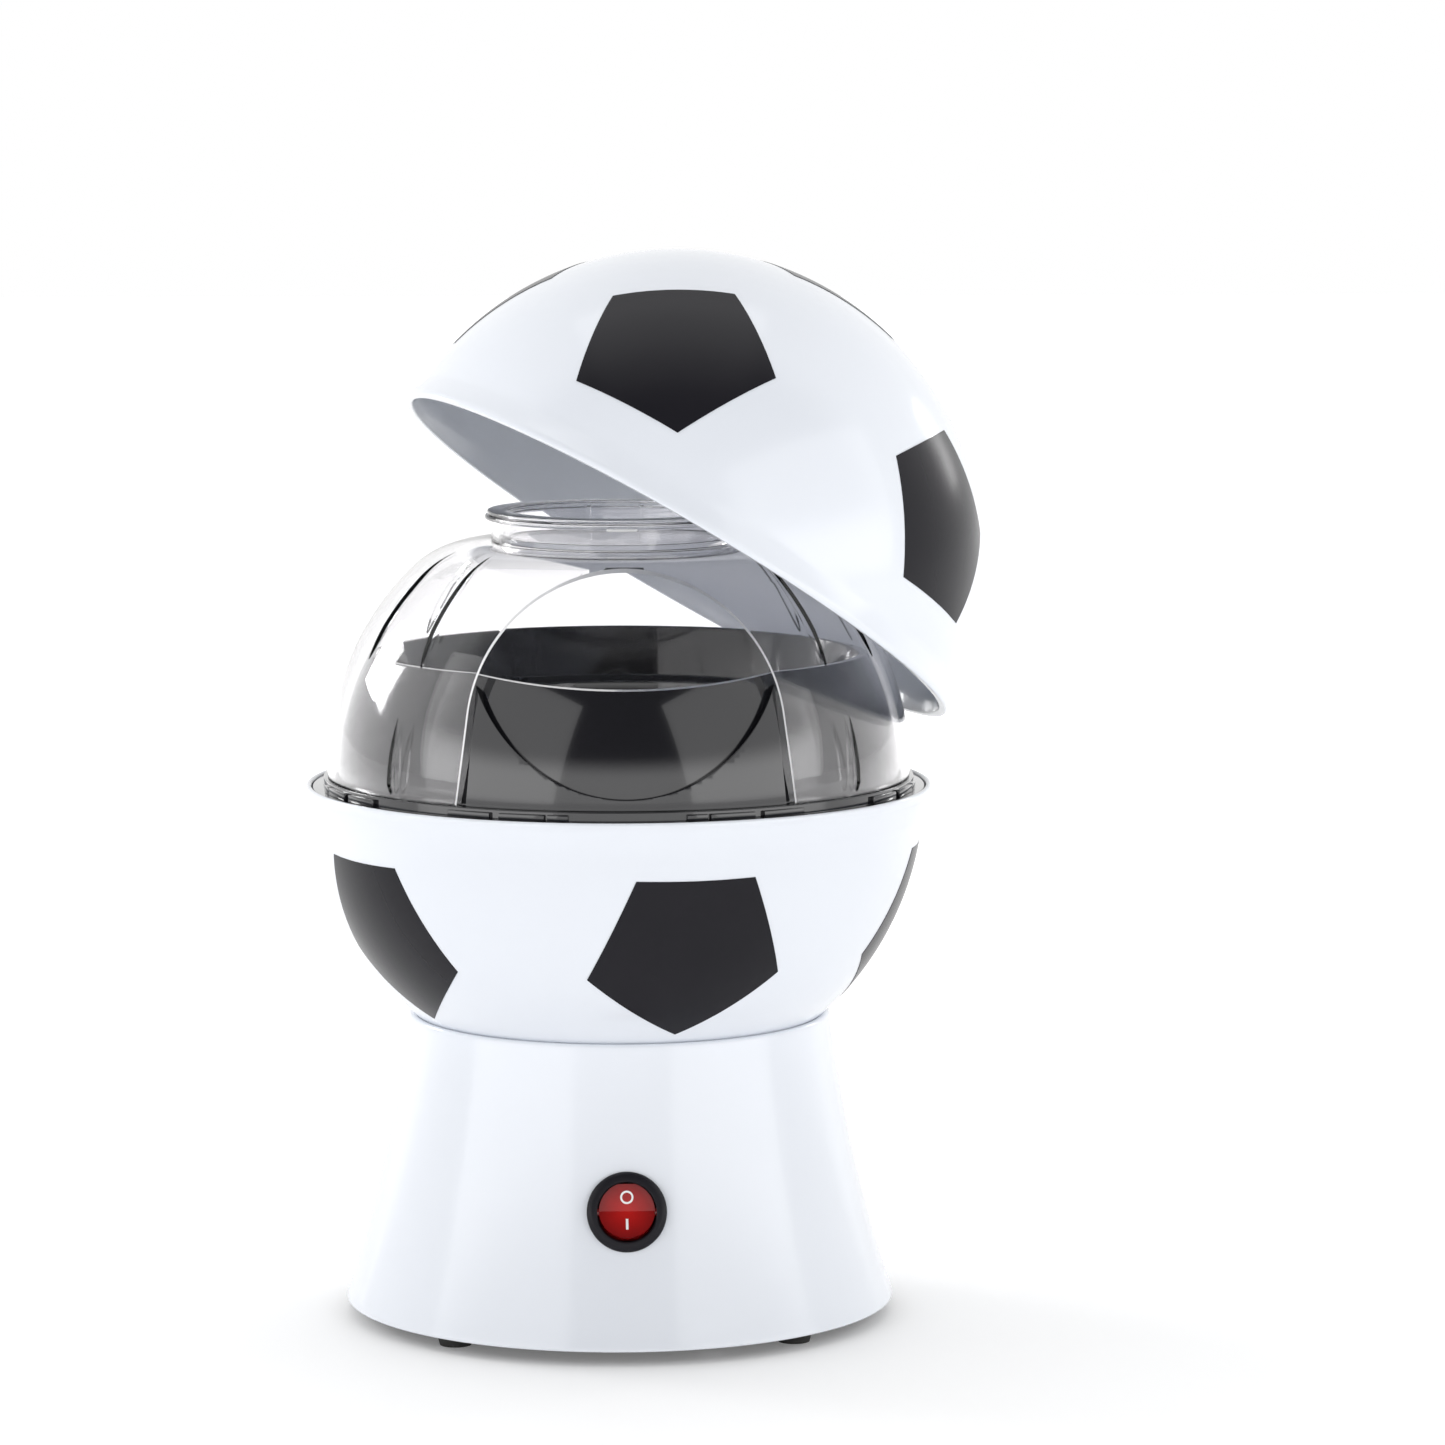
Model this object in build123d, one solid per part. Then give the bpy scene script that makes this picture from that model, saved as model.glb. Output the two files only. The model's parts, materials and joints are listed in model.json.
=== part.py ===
from build123d import *
from math import cos, radians, sin, sqrt, tan
import os

# Football-shaped hot-air popcorn maker. Millimetres, +Z up, front towards -Y.
# The origin is on the standing plane, on the axis of the ball.

# ---- driving dimensions -------------------------------------------------------
rim_z = 157.5             # top of the lower bowl's lip
lip_r = 92.0              # outside of the lip, and of the lid's rim
wall = 2.4                # white mouldings
clear_wall = 2.0          # clear mouldings
tin = 0.8                 # pressed sheet

foot_height = 4.0
foot_x = 49.0
foot_y = 50.0
base_screw_r = 70.6
plate_r = 77.6

base_bottom_r = 81.3
base_middle_r = 70.4      # at the height of the switch
base_top_r = 62.2
base_top_z = 89.5
shelf_z = 78.4            # top of the shelf that carries the bowl
shelf_thick = 2.4
shelf_inner_r = 50.0

bowl_r = 89.8             # outside of the lower half of the ball
bowl_centre_z = 156.0
bowl_bottom_z = 84.0
bowl_screw_r = 56.0

lid_r = 90.2              # outside of the upper half
lid_wall = 1.5
lid_gap = 0.3             # between the closed lid and the lip
lid_centre_z = 158.5      # centre of the lid's sphere when closed
lid_lean = 19.45          # the way the lid tips, from +X towards +Y
lid_hinge_out = 119.9     # virtual hinge line, from the ball's axis
lid_hinge_z = 160.2
lid_open = 32.73          # how far the lid is tipped at rest

patch_angle = 19.2        # from a pentagon's centre to its corners
patch_thick = 0.15
bowl_ring_angle = 64.2    # pentagon centres, from the bottom pole
bowl_ring_start = -77.2
ring_step = 72.0
lid_ring_angle = 61.4     # pentagon centres, from the top pole
lid_ring_start = -114.3
lid_front_gap = 76.0      # between the two front pentagons of the lid

cover_bottom_h = 2.6      # heights marked _h are above the lip
cover_foot_r = 85.7
cover_waist_r, cover_waist_h = 78.7, 37.7
cover_brow_r, cover_brow_h = 61.0, 63.2
neck_r = 37.2
neck_foot_h = 71.2
neck_lip_r = 39.2
neck_lip_low_h, neck_lip_top_h = 77.9, 79.1
arch_r = 45.0
arch_centre_h = 22.0
arch_foot_half = 48.4

cup_r = 33.9
cup_floor_h = 71.0
cup_flange_r = 38.5
cup_flange_low_h, cup_flange_top_h = 79.3, 80.5

collar_r = 82.6
collar_wall = 2.2
collar_top_h = 38.6
funnel_top_r, funnel_foot_r, funnel_foot_h = 70.6, 68.2, 23.8   # the funnel's nearly upright band
funnel_ledge_r, funnel_ledge_h = 64.0, 22.4
funnel_web_r, funnel_web_h = 72.2, 32.5   # the funnel and the wall join above this
panel_r = 85.4            # raised panel that fills the foot of the arch
panel_foot_half, panel_top_half = 45.4, 42.0
panel_foot_h = 2.5
dish_r, dish_h = 44.7, 50.3
rim_dip, rim_dip_r = 3.4, 261.0        # shallow arc that the front of the collar's rim dips by

ring_inner_r = 82.9
ring_outer_r = 90.1
ring_step_r = 86.8
ring_low_h, ring_flange_h, ring_top_h = -4.9, -0.6, 2.4

chamber_r = 38.0
chamber_low_z, chamber_top_z = 86.0, 151.0
shroud_r = 46.0
shroud_low_z, shroud_top_z = 48.0, 150.2
flange_r = 54.0           # flanges of the shroud and chamber, screwed to the collar
flange_screw_r = 50.0

motor_r = 13.9
motor_low_z, motor_top_z = 16.0, 50.0
shaft_r = 1.15
shaft_play = 0.05
bracket_z = 50.0
fan_low_z, fan_top_z = 56.0, 64.0
fan_r = 38.0
mica_low_z, mica_top_z = 66.0, 84.0

switch_z = 42.6
switch_hole_r = 10.0
bezel_r = 11.5
bezel_open_r = 8.5
rocker_r = 8.0
rocker_pivot = -0.5       # behind the bezel's seat, along the switch's axis
rocker_face = 0.8
rocker_tip = 10.0         # each way from level
rocker_low = -3.6
pin_r = 1.2
pin_play = 0.05

gland_z = 20.0
gland_bore_r = 3.25
gland_hole_r = 6.2
gland_flange_r = 9.0

screw_r = 1.4
screw_head_r = 2.8
screw_head_h = 1.8

O = Vector(0, 0, 0)


# ---- helpers ------------------------------------------------------------------
def at(radius, azimuth, z=0.0):
    """Point at a radius and an azimuth in degrees from +X."""
    return Vector(radius * cos(radians(azimuth)), radius * sin(radians(azimuth)), z)


def post(radius, low, high, where=O):
    """Upright cylinder between two heights."""
    body = Cylinder(radius, high - low, align=(Align.CENTER, Align.CENTER, Align.MIN))
    return Pos(where.X, where.Y, low) * body


def tube(outer, inner, low, high):
    return post(outer, low, high) - post(inner, low - 1, high + 1)


def ball(radius, centre_z):
    return Pos(0, 0, centre_z) * Sphere(radius)


def spun(*edges):
    """Closed outline in the XZ plane, turned once round Z."""
    return revolve(make_face(list(edges)), Axis.Z)


def rz(r, z):
    return (r, 0, z)


def screw(where, head_z, tip_z):
    """Pan-head screw: its head lies outside head_z, away from its tip."""
    up = 1 if tip_z > head_z else -1
    shank = post(screw_r, min(head_z, tip_z), max(head_z, tip_z), where)
    head = post(screw_head_r, *sorted((head_z, head_z - up * screw_head_h)), where)
    return shank + head


def around(count, radius, start=0.0):
    return [at(radius, start + k * 360 / count) for k in range(count)]


def base_wall(offset):
    """Points of the flared side, pulled in by offset: foot, middle and top."""
    return (
        rz(base_bottom_r - offset, foot_height),
        rz(base_middle_r - offset, switch_z),
        rz(base_top_r - offset, base_top_z),
    )


def side_plane(azimuth_sign, z):
    """Plane on the flared side at the front (-1) or back (+1), its Z pointing out."""
    slope = (base_bottom_r - base_top_r) / (base_top_z - foot_height)
    low, high = rz(base_bottom_r, foot_height), rz(base_top_r, base_top_z)
    side = ThreePointArc(low, base_wall(0)[1], high)
    cut = side.intersect(Plane.XY.offset(z))
    radius = cut.vertices()[0].X
    normal = Vector(0, azimuth_sign, slope)
    return Plane(origin=(0, azimuth_sign * radius, z), x_dir=(-azimuth_sign, 0, 0), z_dir=normal)


def patch(skin, polar, azimuth, centre_z, down=False):
    """Pentagon cut out of a thin skin by five planes through the ball's centre."""
    sign = -1 if down else 1
    tip = Rot(0, 0, azimuth) * Rot(0, polar, 0)
    corners = []
    for k in range(5):
        turn = radians(72 * k)
        flat = Vector(-sin(radians(patch_angle)) * cos(turn), sin(radians(patch_angle)) * sin(turn),
                      cos(radians(patch_angle)))
        point = (tip * Pos(flat.X, flat.Y, flat.Z)).position
        corners.append(Vector(point.X, point.Y, sign * point.Z))
    near, far = (
        make_face(Polyline(*[c * reach + Vector(0, 0, centre_z) for c in corners], close=True))
        for reach in (60, 120)
    )
    return skin & loft([near, far], ruled=True)


# ---- base ---------------------------------------------------------------------
def base_housing():
    low_o, mid_o, top_o = base_wall(0)
    low_i, mid_i, top_i = base_wall(wall)
    shell = spun(
        Line(low_i, low_o), ThreePointArc(low_o, mid_o, top_o),
        Line(top_o, top_i), ThreePointArc(top_i, mid_i, low_i),
    )
    shelf = tube(base_top_r, shelf_inner_r, shelf_z - shelf_thick, shelf_z)
    body = shell + shelf
    for spot in around(4, bowl_screw_r, 45):
        body -= post(screw_r + 0.3, shelf_z - 5, shelf_z + 5, spot)
    for spot in around(4, base_screw_r, 20):
        boss = post(4.0, 7.2, 22.0, spot) - post(screw_r, 6.0, 20.0, spot)
        body += boss
    body -= ball(bowl_r + 0.1, bowl_centre_z)
    front = side_plane(-1, switch_z)
    body -= front * (Cylinder(switch_hole_r, 30) + Pos(0, 0, 1) * Cylinder(bezel_r + 0.05, 2))
    rear = side_plane(1, gland_z)
    body -= rear * (Cylinder(gland_hole_r, 30) + Pos(0, 0, 1) * Cylinder(gland_flange_r + 0.05, 2))
    return body


def base_plate():
    plate = post(plate_r, 4.6, 7.0)
    for k in range(20):
        slot = Pos(40, 0, 5.8) * Box(34, 3.2, 6)
        plate -= Rot(0, 0, k * 18) * slot
    for spot in around(4, base_screw_r, 20):
        plate -= post(screw_r + 0.3, 0, 10, spot)
    for spot in foot_spots():
        plate -= post(2.2, 0, 10, spot)
    return plate


def foot_spots():
    return [Vector(sx * foot_x, sy * foot_y, 0) for sx in (-1, 1) for sy in (-1, 1)]


def rubber_feet():
    pad = Cone(4.6, 5.8, 4.6, align=(Align.CENTER, Align.CENTER, Align.MIN))
    return Compound([Pos(p.X, p.Y, 0) * pad + post(2.1, 4.6, 7.0, p) + post(3.2, 7.0, 8.4, p)
                     for p in foot_spots()])


def base_screws():
    return Compound([screw(p, 4.6, 16.0) for p in around(4, base_screw_r, 20)])


# ---- lower half of the ball ----------------------------------------------------
def lower_bowl():
    shoulder_z = rim_z - 9.0
    outer_shoulder = sqrt(bowl_r**2 - (bowl_centre_z - shoulder_z) ** 2)
    inner_r = bowl_r - wall
    low_o = sqrt(bowl_r**2 - (bowl_centre_z - bowl_bottom_z) ** 2)
    low_i = sqrt(inner_r**2 - (bowl_centre_z - bowl_bottom_z) ** 2)
    half = radians(45)
    belly_o = rz(bowl_r * sin(half), bowl_centre_z - bowl_r * cos(half))
    belly_i = rz(inner_r * sin(half), bowl_centre_z - inner_r * cos(half))
    seat_z = rim_z + ring_low_h
    seat_i = sqrt(inner_r**2 - (bowl_centre_z - seat_z) ** 2)
    edge = 0.8
    shell = spun(
        ThreePointArc(rz(low_o, bowl_bottom_z), belly_o, rz(outer_shoulder, shoulder_z)),
        Line(rz(outer_shoulder, shoulder_z), rz(lip_r - 0.5, rim_z - 4.2)),
        Line(rz(lip_r - 0.5, rim_z - 4.2), rz(lip_r, rim_z - 2.4)),
        Line(rz(lip_r, rim_z - 2.4), rz(lip_r, rim_z - edge)),
        ThreePointArc(rz(lip_r, rim_z - edge), rz(lip_r - edge, rim_z), rz(lip_r - 2 * edge, rim_z - edge)),
        Line(rz(lip_r - 2 * edge, rim_z - edge), rz(ring_outer_r + 0.1, seat_z)),
        Line(rz(ring_outer_r + 0.1, seat_z), rz(seat_i, seat_z)),
        ThreePointArc(rz(seat_i, seat_z), belly_i, rz(low_i, bowl_bottom_z)),
        Line(rz(low_i, bowl_bottom_z), rz(low_o, bowl_bottom_z)),
    )
    for spot in around(4, bowl_screw_r, 45):
        boss = post(3.6, shelf_z, 96, spot) - ball(inner_r + 0.6, bowl_centre_z)
        shell += boss
        shell -= post(screw_r, shelf_z - 1, shelf_z + 8.0, spot)
    return shell


def bowl_patches():
    skin = ball(bowl_r + patch_thick, bowl_centre_z) - ball(bowl_r, bowl_centre_z)
    return Compound([patch(skin, bowl_ring_angle, bowl_ring_start + k * ring_step, bowl_centre_z, down=True)
                     for k in range(5)])


def bowl_screws():
    return Compound([screw(p, shelf_z - shelf_thick, shelf_z + 7.5)
                     for p in around(4, bowl_screw_r, 45)])


# ---- collar, ring and chamber --------------------------------------------------
def sphere_r(radius, h):
    return sqrt(radius**2 - h**2)


def chute_collar():
    """Ball-shaped wall with a funnel inside it; the space between the two is open below."""
    inner = collar_r - collar_wall
    low_h, floor_h, mid_h = -4.0, -6.5, collar_top_h / 2
    floor_top_h = floor_h + 2.4
    hole_r, flat_r = 39.0, 56.0

    def point(r, h):
        return rz(r, rim_z + h)

    def on_wall(radius, h):
        return point(sphere_r(radius, h), h)

    body = spun(
        Line(point(hole_r, floor_h), point(flat_r, floor_h)),
        ThreePointArc(point(flat_r, floor_h), point(62.0, 6.0), point(67.0, funnel_ledge_h - 1.0)),
        Line(point(67.0, funnel_ledge_h - 1.0), point(70.4, funnel_ledge_h)),
        Line(point(70.4, funnel_ledge_h), point(funnel_web_r, funnel_web_h)),
        Line(point(funnel_web_r, funnel_web_h), on_wall(inner, funnel_web_h)),
        ThreePointArc(on_wall(inner, funnel_web_h), on_wall(inner, mid_h), on_wall(inner, low_h)),
        Line(on_wall(inner, low_h), on_wall(collar_r, low_h)),
        ThreePointArc(on_wall(collar_r, low_h), on_wall(collar_r, mid_h), on_wall(collar_r, collar_top_h)),
        Line(on_wall(collar_r, collar_top_h), point(funnel_top_r, collar_top_h)),
        Line(point(funnel_top_r, collar_top_h), point(funnel_foot_r, funnel_foot_h)),
        Line(point(funnel_foot_r, funnel_foot_h), point(funnel_ledge_r, funnel_ledge_h)),
        ThreePointArc(point(funnel_ledge_r, funnel_ledge_h), point(57.6, 6.0), point(46.0, floor_top_h)),
        Line(point(46.0, floor_top_h), point(hole_r, floor_top_h)),
        Line(point(hole_r, floor_top_h), point(hole_r, floor_h)),
    )
    for spot in around(4, flange_screw_r, 45):
        body -= post(screw_r, rim_z + floor_h - 1, rim_z + floor_h + 1.7, spot)
    dip_z = rim_z + collar_top_h - rim_dip + rim_dip_r
    dip = Pos(0, -60, dip_z) * Rot(90, 0, 0) * Cylinder(rim_dip_r, 60)
    return body + front_panel() - dip


def front_panel():
    """Raised panel in the foot of the arch, with a round dish cut out of it."""
    top = rim_z + collar_top_h
    foot = rim_z + panel_foot_h
    outline = Polyline((-panel_foot_half, foot), (panel_foot_half, foot),
                       (panel_top_half, top), (-panel_top_half, top), close=True)
    block = extrude(Plane.XZ * make_face(outline), 100)
    skin = ball(panel_r, rim_z) - ball(collar_r - 0.5, rim_z)
    dish = Pos(0, -60, rim_z + dish_h) * Rot(90, 0, 0) * Cylinder(dish_r, 60)
    return (skin & block) - dish


def rim_ring():
    low, flange, top = (rim_z + h for h in (ring_low_h, ring_flange_h, ring_top_h))
    body = tube(ring_outer_r, ring_inner_r, low, flange) + tube(ring_step_r, ring_inner_r, flange, top)
    # bayonet lugs on the step, in mirrored pairs round each quarter
    for quarter in range(4):
        for centre, width in ((13.0, 4.0), (19.9, 9.0), (30.6, 9.0)):
            for side in (-1, 1):
                azimuth = -90 + 90 * quarter + side * centre
                half = ring_step_r * sin(radians(width / 2))
                lug = Pos(ring_step_r + 0.3, 0, flange + 1.1) * Box(1.6, 2 * half, 2.2)
                body += Rot(0, 0, azimuth) * lug
    return body


def popping_chamber():
    inner = chamber_r - tin
    cup = post(chamber_r, chamber_low_z, chamber_top_z) - post(inner, chamber_low_z + tin, chamber_top_z + 1)
    cup += tube(flange_r, inner, chamber_top_z - tin, chamber_top_z)
    for k in range(18):
        louvre = Pos(chamber_r, 0, 98) * Rot(35, 0, 0) * Box(6, 1.6, 15)
        cup -= Rot(0, 0, k * 20) * louvre
    for spot in around(4, flange_screw_r, 45):
        cup -= post(screw_r + 0.2, chamber_top_z - 3, chamber_top_z + 2, spot)
    return cup


def heater_shroud():
    top = shroud_top_z
    body = tube(shroud_r, shroud_r - tin, shroud_low_z, top) + tube(flange_r, shroud_r - tin, top - tin, top)
    for spot in around(4, flange_screw_r, 45):
        body -= post(screw_r + 0.2, top - 3, top + 2, spot)
    return body


def collar_screws():
    return Compound([screw(p, shroud_top_z - tin, rim_z - 5.0) for p in around(4, flange_screw_r, 45)])


# ---- heater --------------------------------------------------------------------
def coil_radii():
    return (14.0, 22.0, 30.0)


def mica_cross():
    middle = (mica_low_z + mica_top_z) / 2
    height = mica_top_z - mica_low_z
    reach = 2 * (shroud_r - tin - 0.1)
    cross = Pos(0, 0, middle) * (Box(reach, 0.8, height) + Box(0.8, reach, height))
    for radius in coil_radii():
        cross -= Pos(0, 0, middle) * Torus(radius, 1.9)
    return cross


def heater_coil():
    middle = (mica_low_z + mica_top_z) / 2
    return Compound([Pos(0, 0, middle) * Torus(r, 1.7) for r in coil_radii()])


def thermostat():
    can = Pos(-shroud_r - 4.1, 0, 104) * Rot(0, 90, 0) * Cylinder(8.0, 8.0)
    blades = [Pos(-shroud_r - 9.6, y, 104) * Box(3.0, 0.8, 4.8) for y in (-4.0, 4.0)]
    return can + blades[0] + blades[1]


def thermal_fuse():
    spot = at(shroud_r + 2.3, 140)
    return post(2.0, 96, 108, spot) + post(0.5, 88, 116, spot)


# ---- motor and fan -------------------------------------------------------------
def motor_can():
    nose_top = bracket_z + 2.0
    body = post(motor_r, motor_low_z, motor_top_z) + post(5.0, motor_top_z, nose_top)
    body -= post(shaft_r + shaft_play, motor_top_z - 4, nose_top + 1)
    for spot in around(2, 8.0):
        body -= post(screw_r, motor_top_z - 3, motor_top_z + 1, spot)
    return body


def motor_bracket():
    rim = shroud_r - tin - 0.1
    plate = tube(rim, rim - 4, bracket_z, bracket_z + 1.6) + post(15.0, bracket_z, bracket_z + 1.6)
    for k in range(3):
        arm = Pos(27.0, 0, bracket_z + 0.8) * Box(30, 8, 1.6)
        plate += Rot(0, 0, 30 + k * 120) * arm
    plate -= post(5.1, bracket_z - 1, bracket_z + 3)
    for spot in around(2, 8.0):
        plate -= post(screw_r + 0.2, bracket_z - 1, bracket_z + 3, spot)
    return plate


def motor_screws():
    return Compound([screw(p, bracket_z + 1.6, motor_top_z - 2.8) for p in around(2, 8.0)])


def motor_shaft():
    return post(shaft_r, motor_top_z - 3.5, fan_top_z + 0.4)


def fan():
    wheel = post(fan_r, fan_low_z, fan_low_z + 1.0) + post(5.0, fan_low_z, fan_top_z)
    for k in range(12):
        blade = Pos(25.0, 0, (fan_low_z + fan_top_z) / 2) * Rot(0, 0, 25) * Box(26, 1.0, fan_top_z - fan_low_z)
        wheel += Rot(0, 0, k * 30) * blade
    return wheel - post(shaft_r, fan_low_z - 1, fan_top_z + 1)


def rectifier_board():
    board = post(13.4, 12.0, 13.6)
    posts = [post(0.9, 13.6, motor_low_z, at(8.0, a)) for a in (0, 180)]
    return board + posts[0] + posts[1]


def rectifier_diodes():
    return Compound([Pos(x, y, 10.6) * Rot(0, 90, 0) * Cylinder(1.35, 5.2)
                     for x in (-4.5, 4.5) for y in (-3.5, 3.5)])


# ---- switch --------------------------------------------------------------------
def switch_body():
    """Round snap-in body with its bezel; local Z points out of the housing."""
    bezel = Pos(0, 0, 0.9) * Cylinder(bezel_r, 1.8)
    bezel = fillet(bezel.edges().sort_by(Axis.Z)[-1], 0.9)
    sleeve = Pos(0, 0, -9.5) * Cylinder(9.8, 19)
    hollow = Pos(0, 0, -3.5) * Cylinder(bezel_open_r, 13)
    hollow += Pos(0, 0, rocker_pivot) * Rot(0, 90, 0) * Cylinder(pin_r + pin_play, 18.8)
    return side_plane(-1, switch_z) * (bezel + sleeve - hollow)


def switch_terminals():
    blades = [Pos(0, y, -22.0) * Box(4.8, 0.8, 6.0) for y in (-6.0, 0.0, 6.0)]
    return side_plane(-1, switch_z) * Compound(blades)


def rocker_turned(shape):
    """Tips a piece of the rocker so that its upper half is pressed, then seats it."""
    pivot = Axis((0, 0, rocker_pivot), (1, 0, 0))
    return side_plane(-1, switch_z) * shape.rotate(pivot, -rocker_tip)


def face_rise(y):
    return rocker_face + abs(y) * tan(radians(rocker_tip))


def switch_rocker():
    reach = rocker_r
    outline = Polyline((-reach, rocker_low), (reach, rocker_low), (reach, face_rise(reach)), (0, rocker_face),
                       (-reach, face_rise(reach)), close=True)
    block = extrude(Plane.YZ * make_face(outline), reach, both=True)
    round_side = Cylinder(rocker_r, 20)
    round_end = Pos(0, 0, rocker_pivot) * Rot(0, 90, 0) * Cylinder(rocker_r + 0.1, 20)
    pins = Pos(0, 0, rocker_pivot) * Rot(0, 90, 0) * Cylinder(pin_r, 18.6)
    return rocker_turned((block & round_side & round_end) + pins)


def rocker_marks():
    """Plain ring and bar that stand for off and on."""
    high = 0.12
    half_y = 3.9
    ring = Cylinder(1.9, high) - Cylinder(1.35, 1)
    bar = Box(0.7, 3.2, high)
    marks = []
    for side, mark in ((1, ring), (-1, bar)):
        lift = face_rise(half_y)
        seat = Pos(0, side * half_y, lift) * Rot(side * rocker_tip, 0, 0) * Pos(0, 0, high / 2)
        marks.append(seat * mark)
    return rocker_turned(Compound(marks))


def cord_gland():
    """Grommet in the back of the base, with nothing in it."""
    flange = Pos(0, 0, 1.0) * Cylinder(gland_flange_r, 2.0)
    nose = Pos(0, 0, 5.0) * Cone(6.4, 5.0, 6.0)
    barrel = Pos(0, 0, -5.0) * Cylinder(6.0, 10.0)
    body = flange + nose + barrel - Cylinder(gland_bore_r, 60)
    return side_plane(1, gland_z) * body


def gland_nut():
    nut = Pos(0, 0, -6.4) * (extrude(RegularPolygon(9.2, 6), 2.5, both=True) - Cylinder(6.05, 10))
    return side_plane(1, gland_z) * nut


# ---- clear cover and cup -------------------------------------------------------
def cover_profile(inset):
    """Edges of the dome and neck pulled in by inset, from the foot to the neck's lip."""
    foot = rz(cover_foot_r - inset, rim_z + cover_bottom_h)
    waist = rz(cover_waist_r - inset * 0.9, rim_z + cover_waist_h - inset * 0.42)
    brow = rz(cover_brow_r - inset * 0.64, rim_z + cover_brow_h - inset * 0.75)
    neck = rz(neck_r - inset, rim_z + neck_foot_h - inset)
    dome = ThreePointArc(foot, waist, brow)
    shoulder = TangentArc(brow, neck, tangent=dome % 1)
    return foot, neck, dome, shoulder


def clear_cover():
    foot_o, neck_o, dome_o, shoulder_o = cover_profile(0)
    foot_i, neck_i, dome_i, shoulder_i = cover_profile(clear_wall)
    lip_low, lip_top = rim_z + neck_lip_low_h, rim_z + neck_lip_top_h
    bore = neck_r - clear_wall
    body = spun(
        dome_o, shoulder_o,
        Line(neck_o, rz(neck_r, lip_low)), Line(rz(neck_r, lip_low), rz(neck_lip_r, lip_low)),
        Line(rz(neck_lip_r, lip_low), rz(neck_lip_r, lip_top)), Line(rz(neck_lip_r, lip_top), rz(bore, lip_top)),
        Line(rz(bore, lip_top), neck_i), shoulder_i, dome_i, Line(foot_i, foot_o),
    )
    body -= arch_block()
    for azimuth in (48, 69.5, 110.5, 132):
        for side in (-1, 1):
            body -= long_flute(-90 + side * azimuth)
    for azimuth in (51, 129):
        for side in (-1, 1):
            body -= short_flute(-90 + side * azimuth)
    return body


def arch_block():
    """Prism through the front wall: a round head on flaring legs, open at the foot."""
    centre = rim_z + arch_centre_h
    tangent_deg = 8.0
    side_x = arch_r * cos(radians(tangent_deg))
    side_z = centre + arch_r * sin(radians(tangent_deg))
    foot_z = rim_z
    outline = [
        ThreePointArc((-side_x, side_z), (0, centre + arch_r), (side_x, side_z)),
        Line((side_x, side_z), (arch_foot_half, foot_z)),
        Line((arch_foot_half, foot_z), (-arch_foot_half, foot_z)),
        Line((-arch_foot_half, foot_z), (-side_x, side_z)),
    ]
    return extrude(Plane.XZ * make_face(outline), 120)


def flute(azimuth, elevation, surface_r, bend_r, width_r, depth):
    """Ring in a meridian plane that sinks its inner edge into the dome's side."""
    reach = bend_r + width_r
    centre = surface_r - depth - bend_r
    ring = Rot(90, 0, 0) * Torus(reach, width_r)
    aimed = Rot(0, -elevation, 0) * Pos(centre, 0, 0) * ring
    return Pos(0, 0, rim_z) * Rot(0, 0, azimuth) * aimed


def long_flute(azimuth):
    return flute(azimuth, 44.0, 88.0, 128.0, 3.0, 0.9)


def short_flute(azimuth):
    return flute(azimuth, 9.5, 86.7, 330.0, 2.6, 0.8)


def measuring_cup():
    floor, low, top = (rim_z + h for h in (cup_floor_h, cup_flange_low_h, cup_flange_top_h))
    inner = cup_r - 1.6
    body = post(cup_r, floor, top) - post(inner, floor + 1.6, top + 1)
    body += tube(cup_flange_r, inner, low, top)
    # two grip ribs on the far wall
    for x in (-8.0, 8.0):
        body += Pos(x, inner - 0.4, (floor + top) / 2 + 1.0) * Box(1.4, 1.6, top - floor - 4)
    return body


# ---- lid -----------------------------------------------------------------------
def lid_rim_z():
    return rim_z + lid_gap


def lid_shell_closed():
    inner = lid_r - lid_wall
    rim = lid_rim_z()
    shoulder = rim + 8.0
    out_shoulder = sqrt(lid_r**2 - (shoulder - lid_centre_z) ** 2)
    in_shoulder = sqrt(inner**2 - (shoulder - lid_centre_z) ** 2)
    half = radians(45)
    crown_o, crown_i = (rz(r * sin(half), lid_centre_z + r * cos(half)) for r in (lid_r, inner))
    return spun(
        Line(rz(0, lid_centre_z + inner), rz(0, lid_centre_z + lid_r)),
        ThreePointArc(rz(0, lid_centre_z + lid_r), crown_o, rz(out_shoulder, shoulder)),
        Line(rz(out_shoulder, shoulder), rz(lip_r, rim + 2.0)),
        Line(rz(lip_r, rim + 2.0), rz(lip_r, rim + 0.4)),
        Line(rz(lip_r, rim + 0.4), rz(lip_r - 0.4, rim)),
        Line(rz(lip_r - 0.4, rim), rz(lip_r - 2.4, rim)),
        Line(rz(lip_r - 2.4, rim), rz(lip_r - 2.8, rim + 2.0)),
        Line(rz(lip_r - 2.8, rim + 2.0), rz(in_shoulder, shoulder)),
        ThreePointArc(rz(in_shoulder, shoulder), crown_i, rz(0, lid_centre_z + inner)),
    )


def lid_patches_closed():
    skin = ball(lid_r + patch_thick, lid_centre_z) - ball(lid_r, lid_centre_z)
    step = (360 - lid_front_gap) / 4
    azimuths = [lid_ring_start] + [lid_ring_start + lid_front_gap + k * step for k in range(4)]
    patches = [patch(skin, lid_ring_angle, a, lid_centre_z) for a in azimuths]
    patches.append(patch(skin, 0.0, lid_ring_start + 180, lid_centre_z))
    return Compound(patches)


def lid_hinge():
    """Line that the lid tips about, level and square to the way it leans."""
    across = Vector(-sin(radians(lid_lean)), cos(radians(lid_lean)), 0)
    return Axis(at(lid_hinge_out, lid_lean, lid_hinge_z), across)


def lid_shell():
    return lid_shell_closed().rotate(lid_hinge(), lid_open)


def lid_patches():
    return lid_patches_closed().rotate(lid_hinge(), lid_open)


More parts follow.
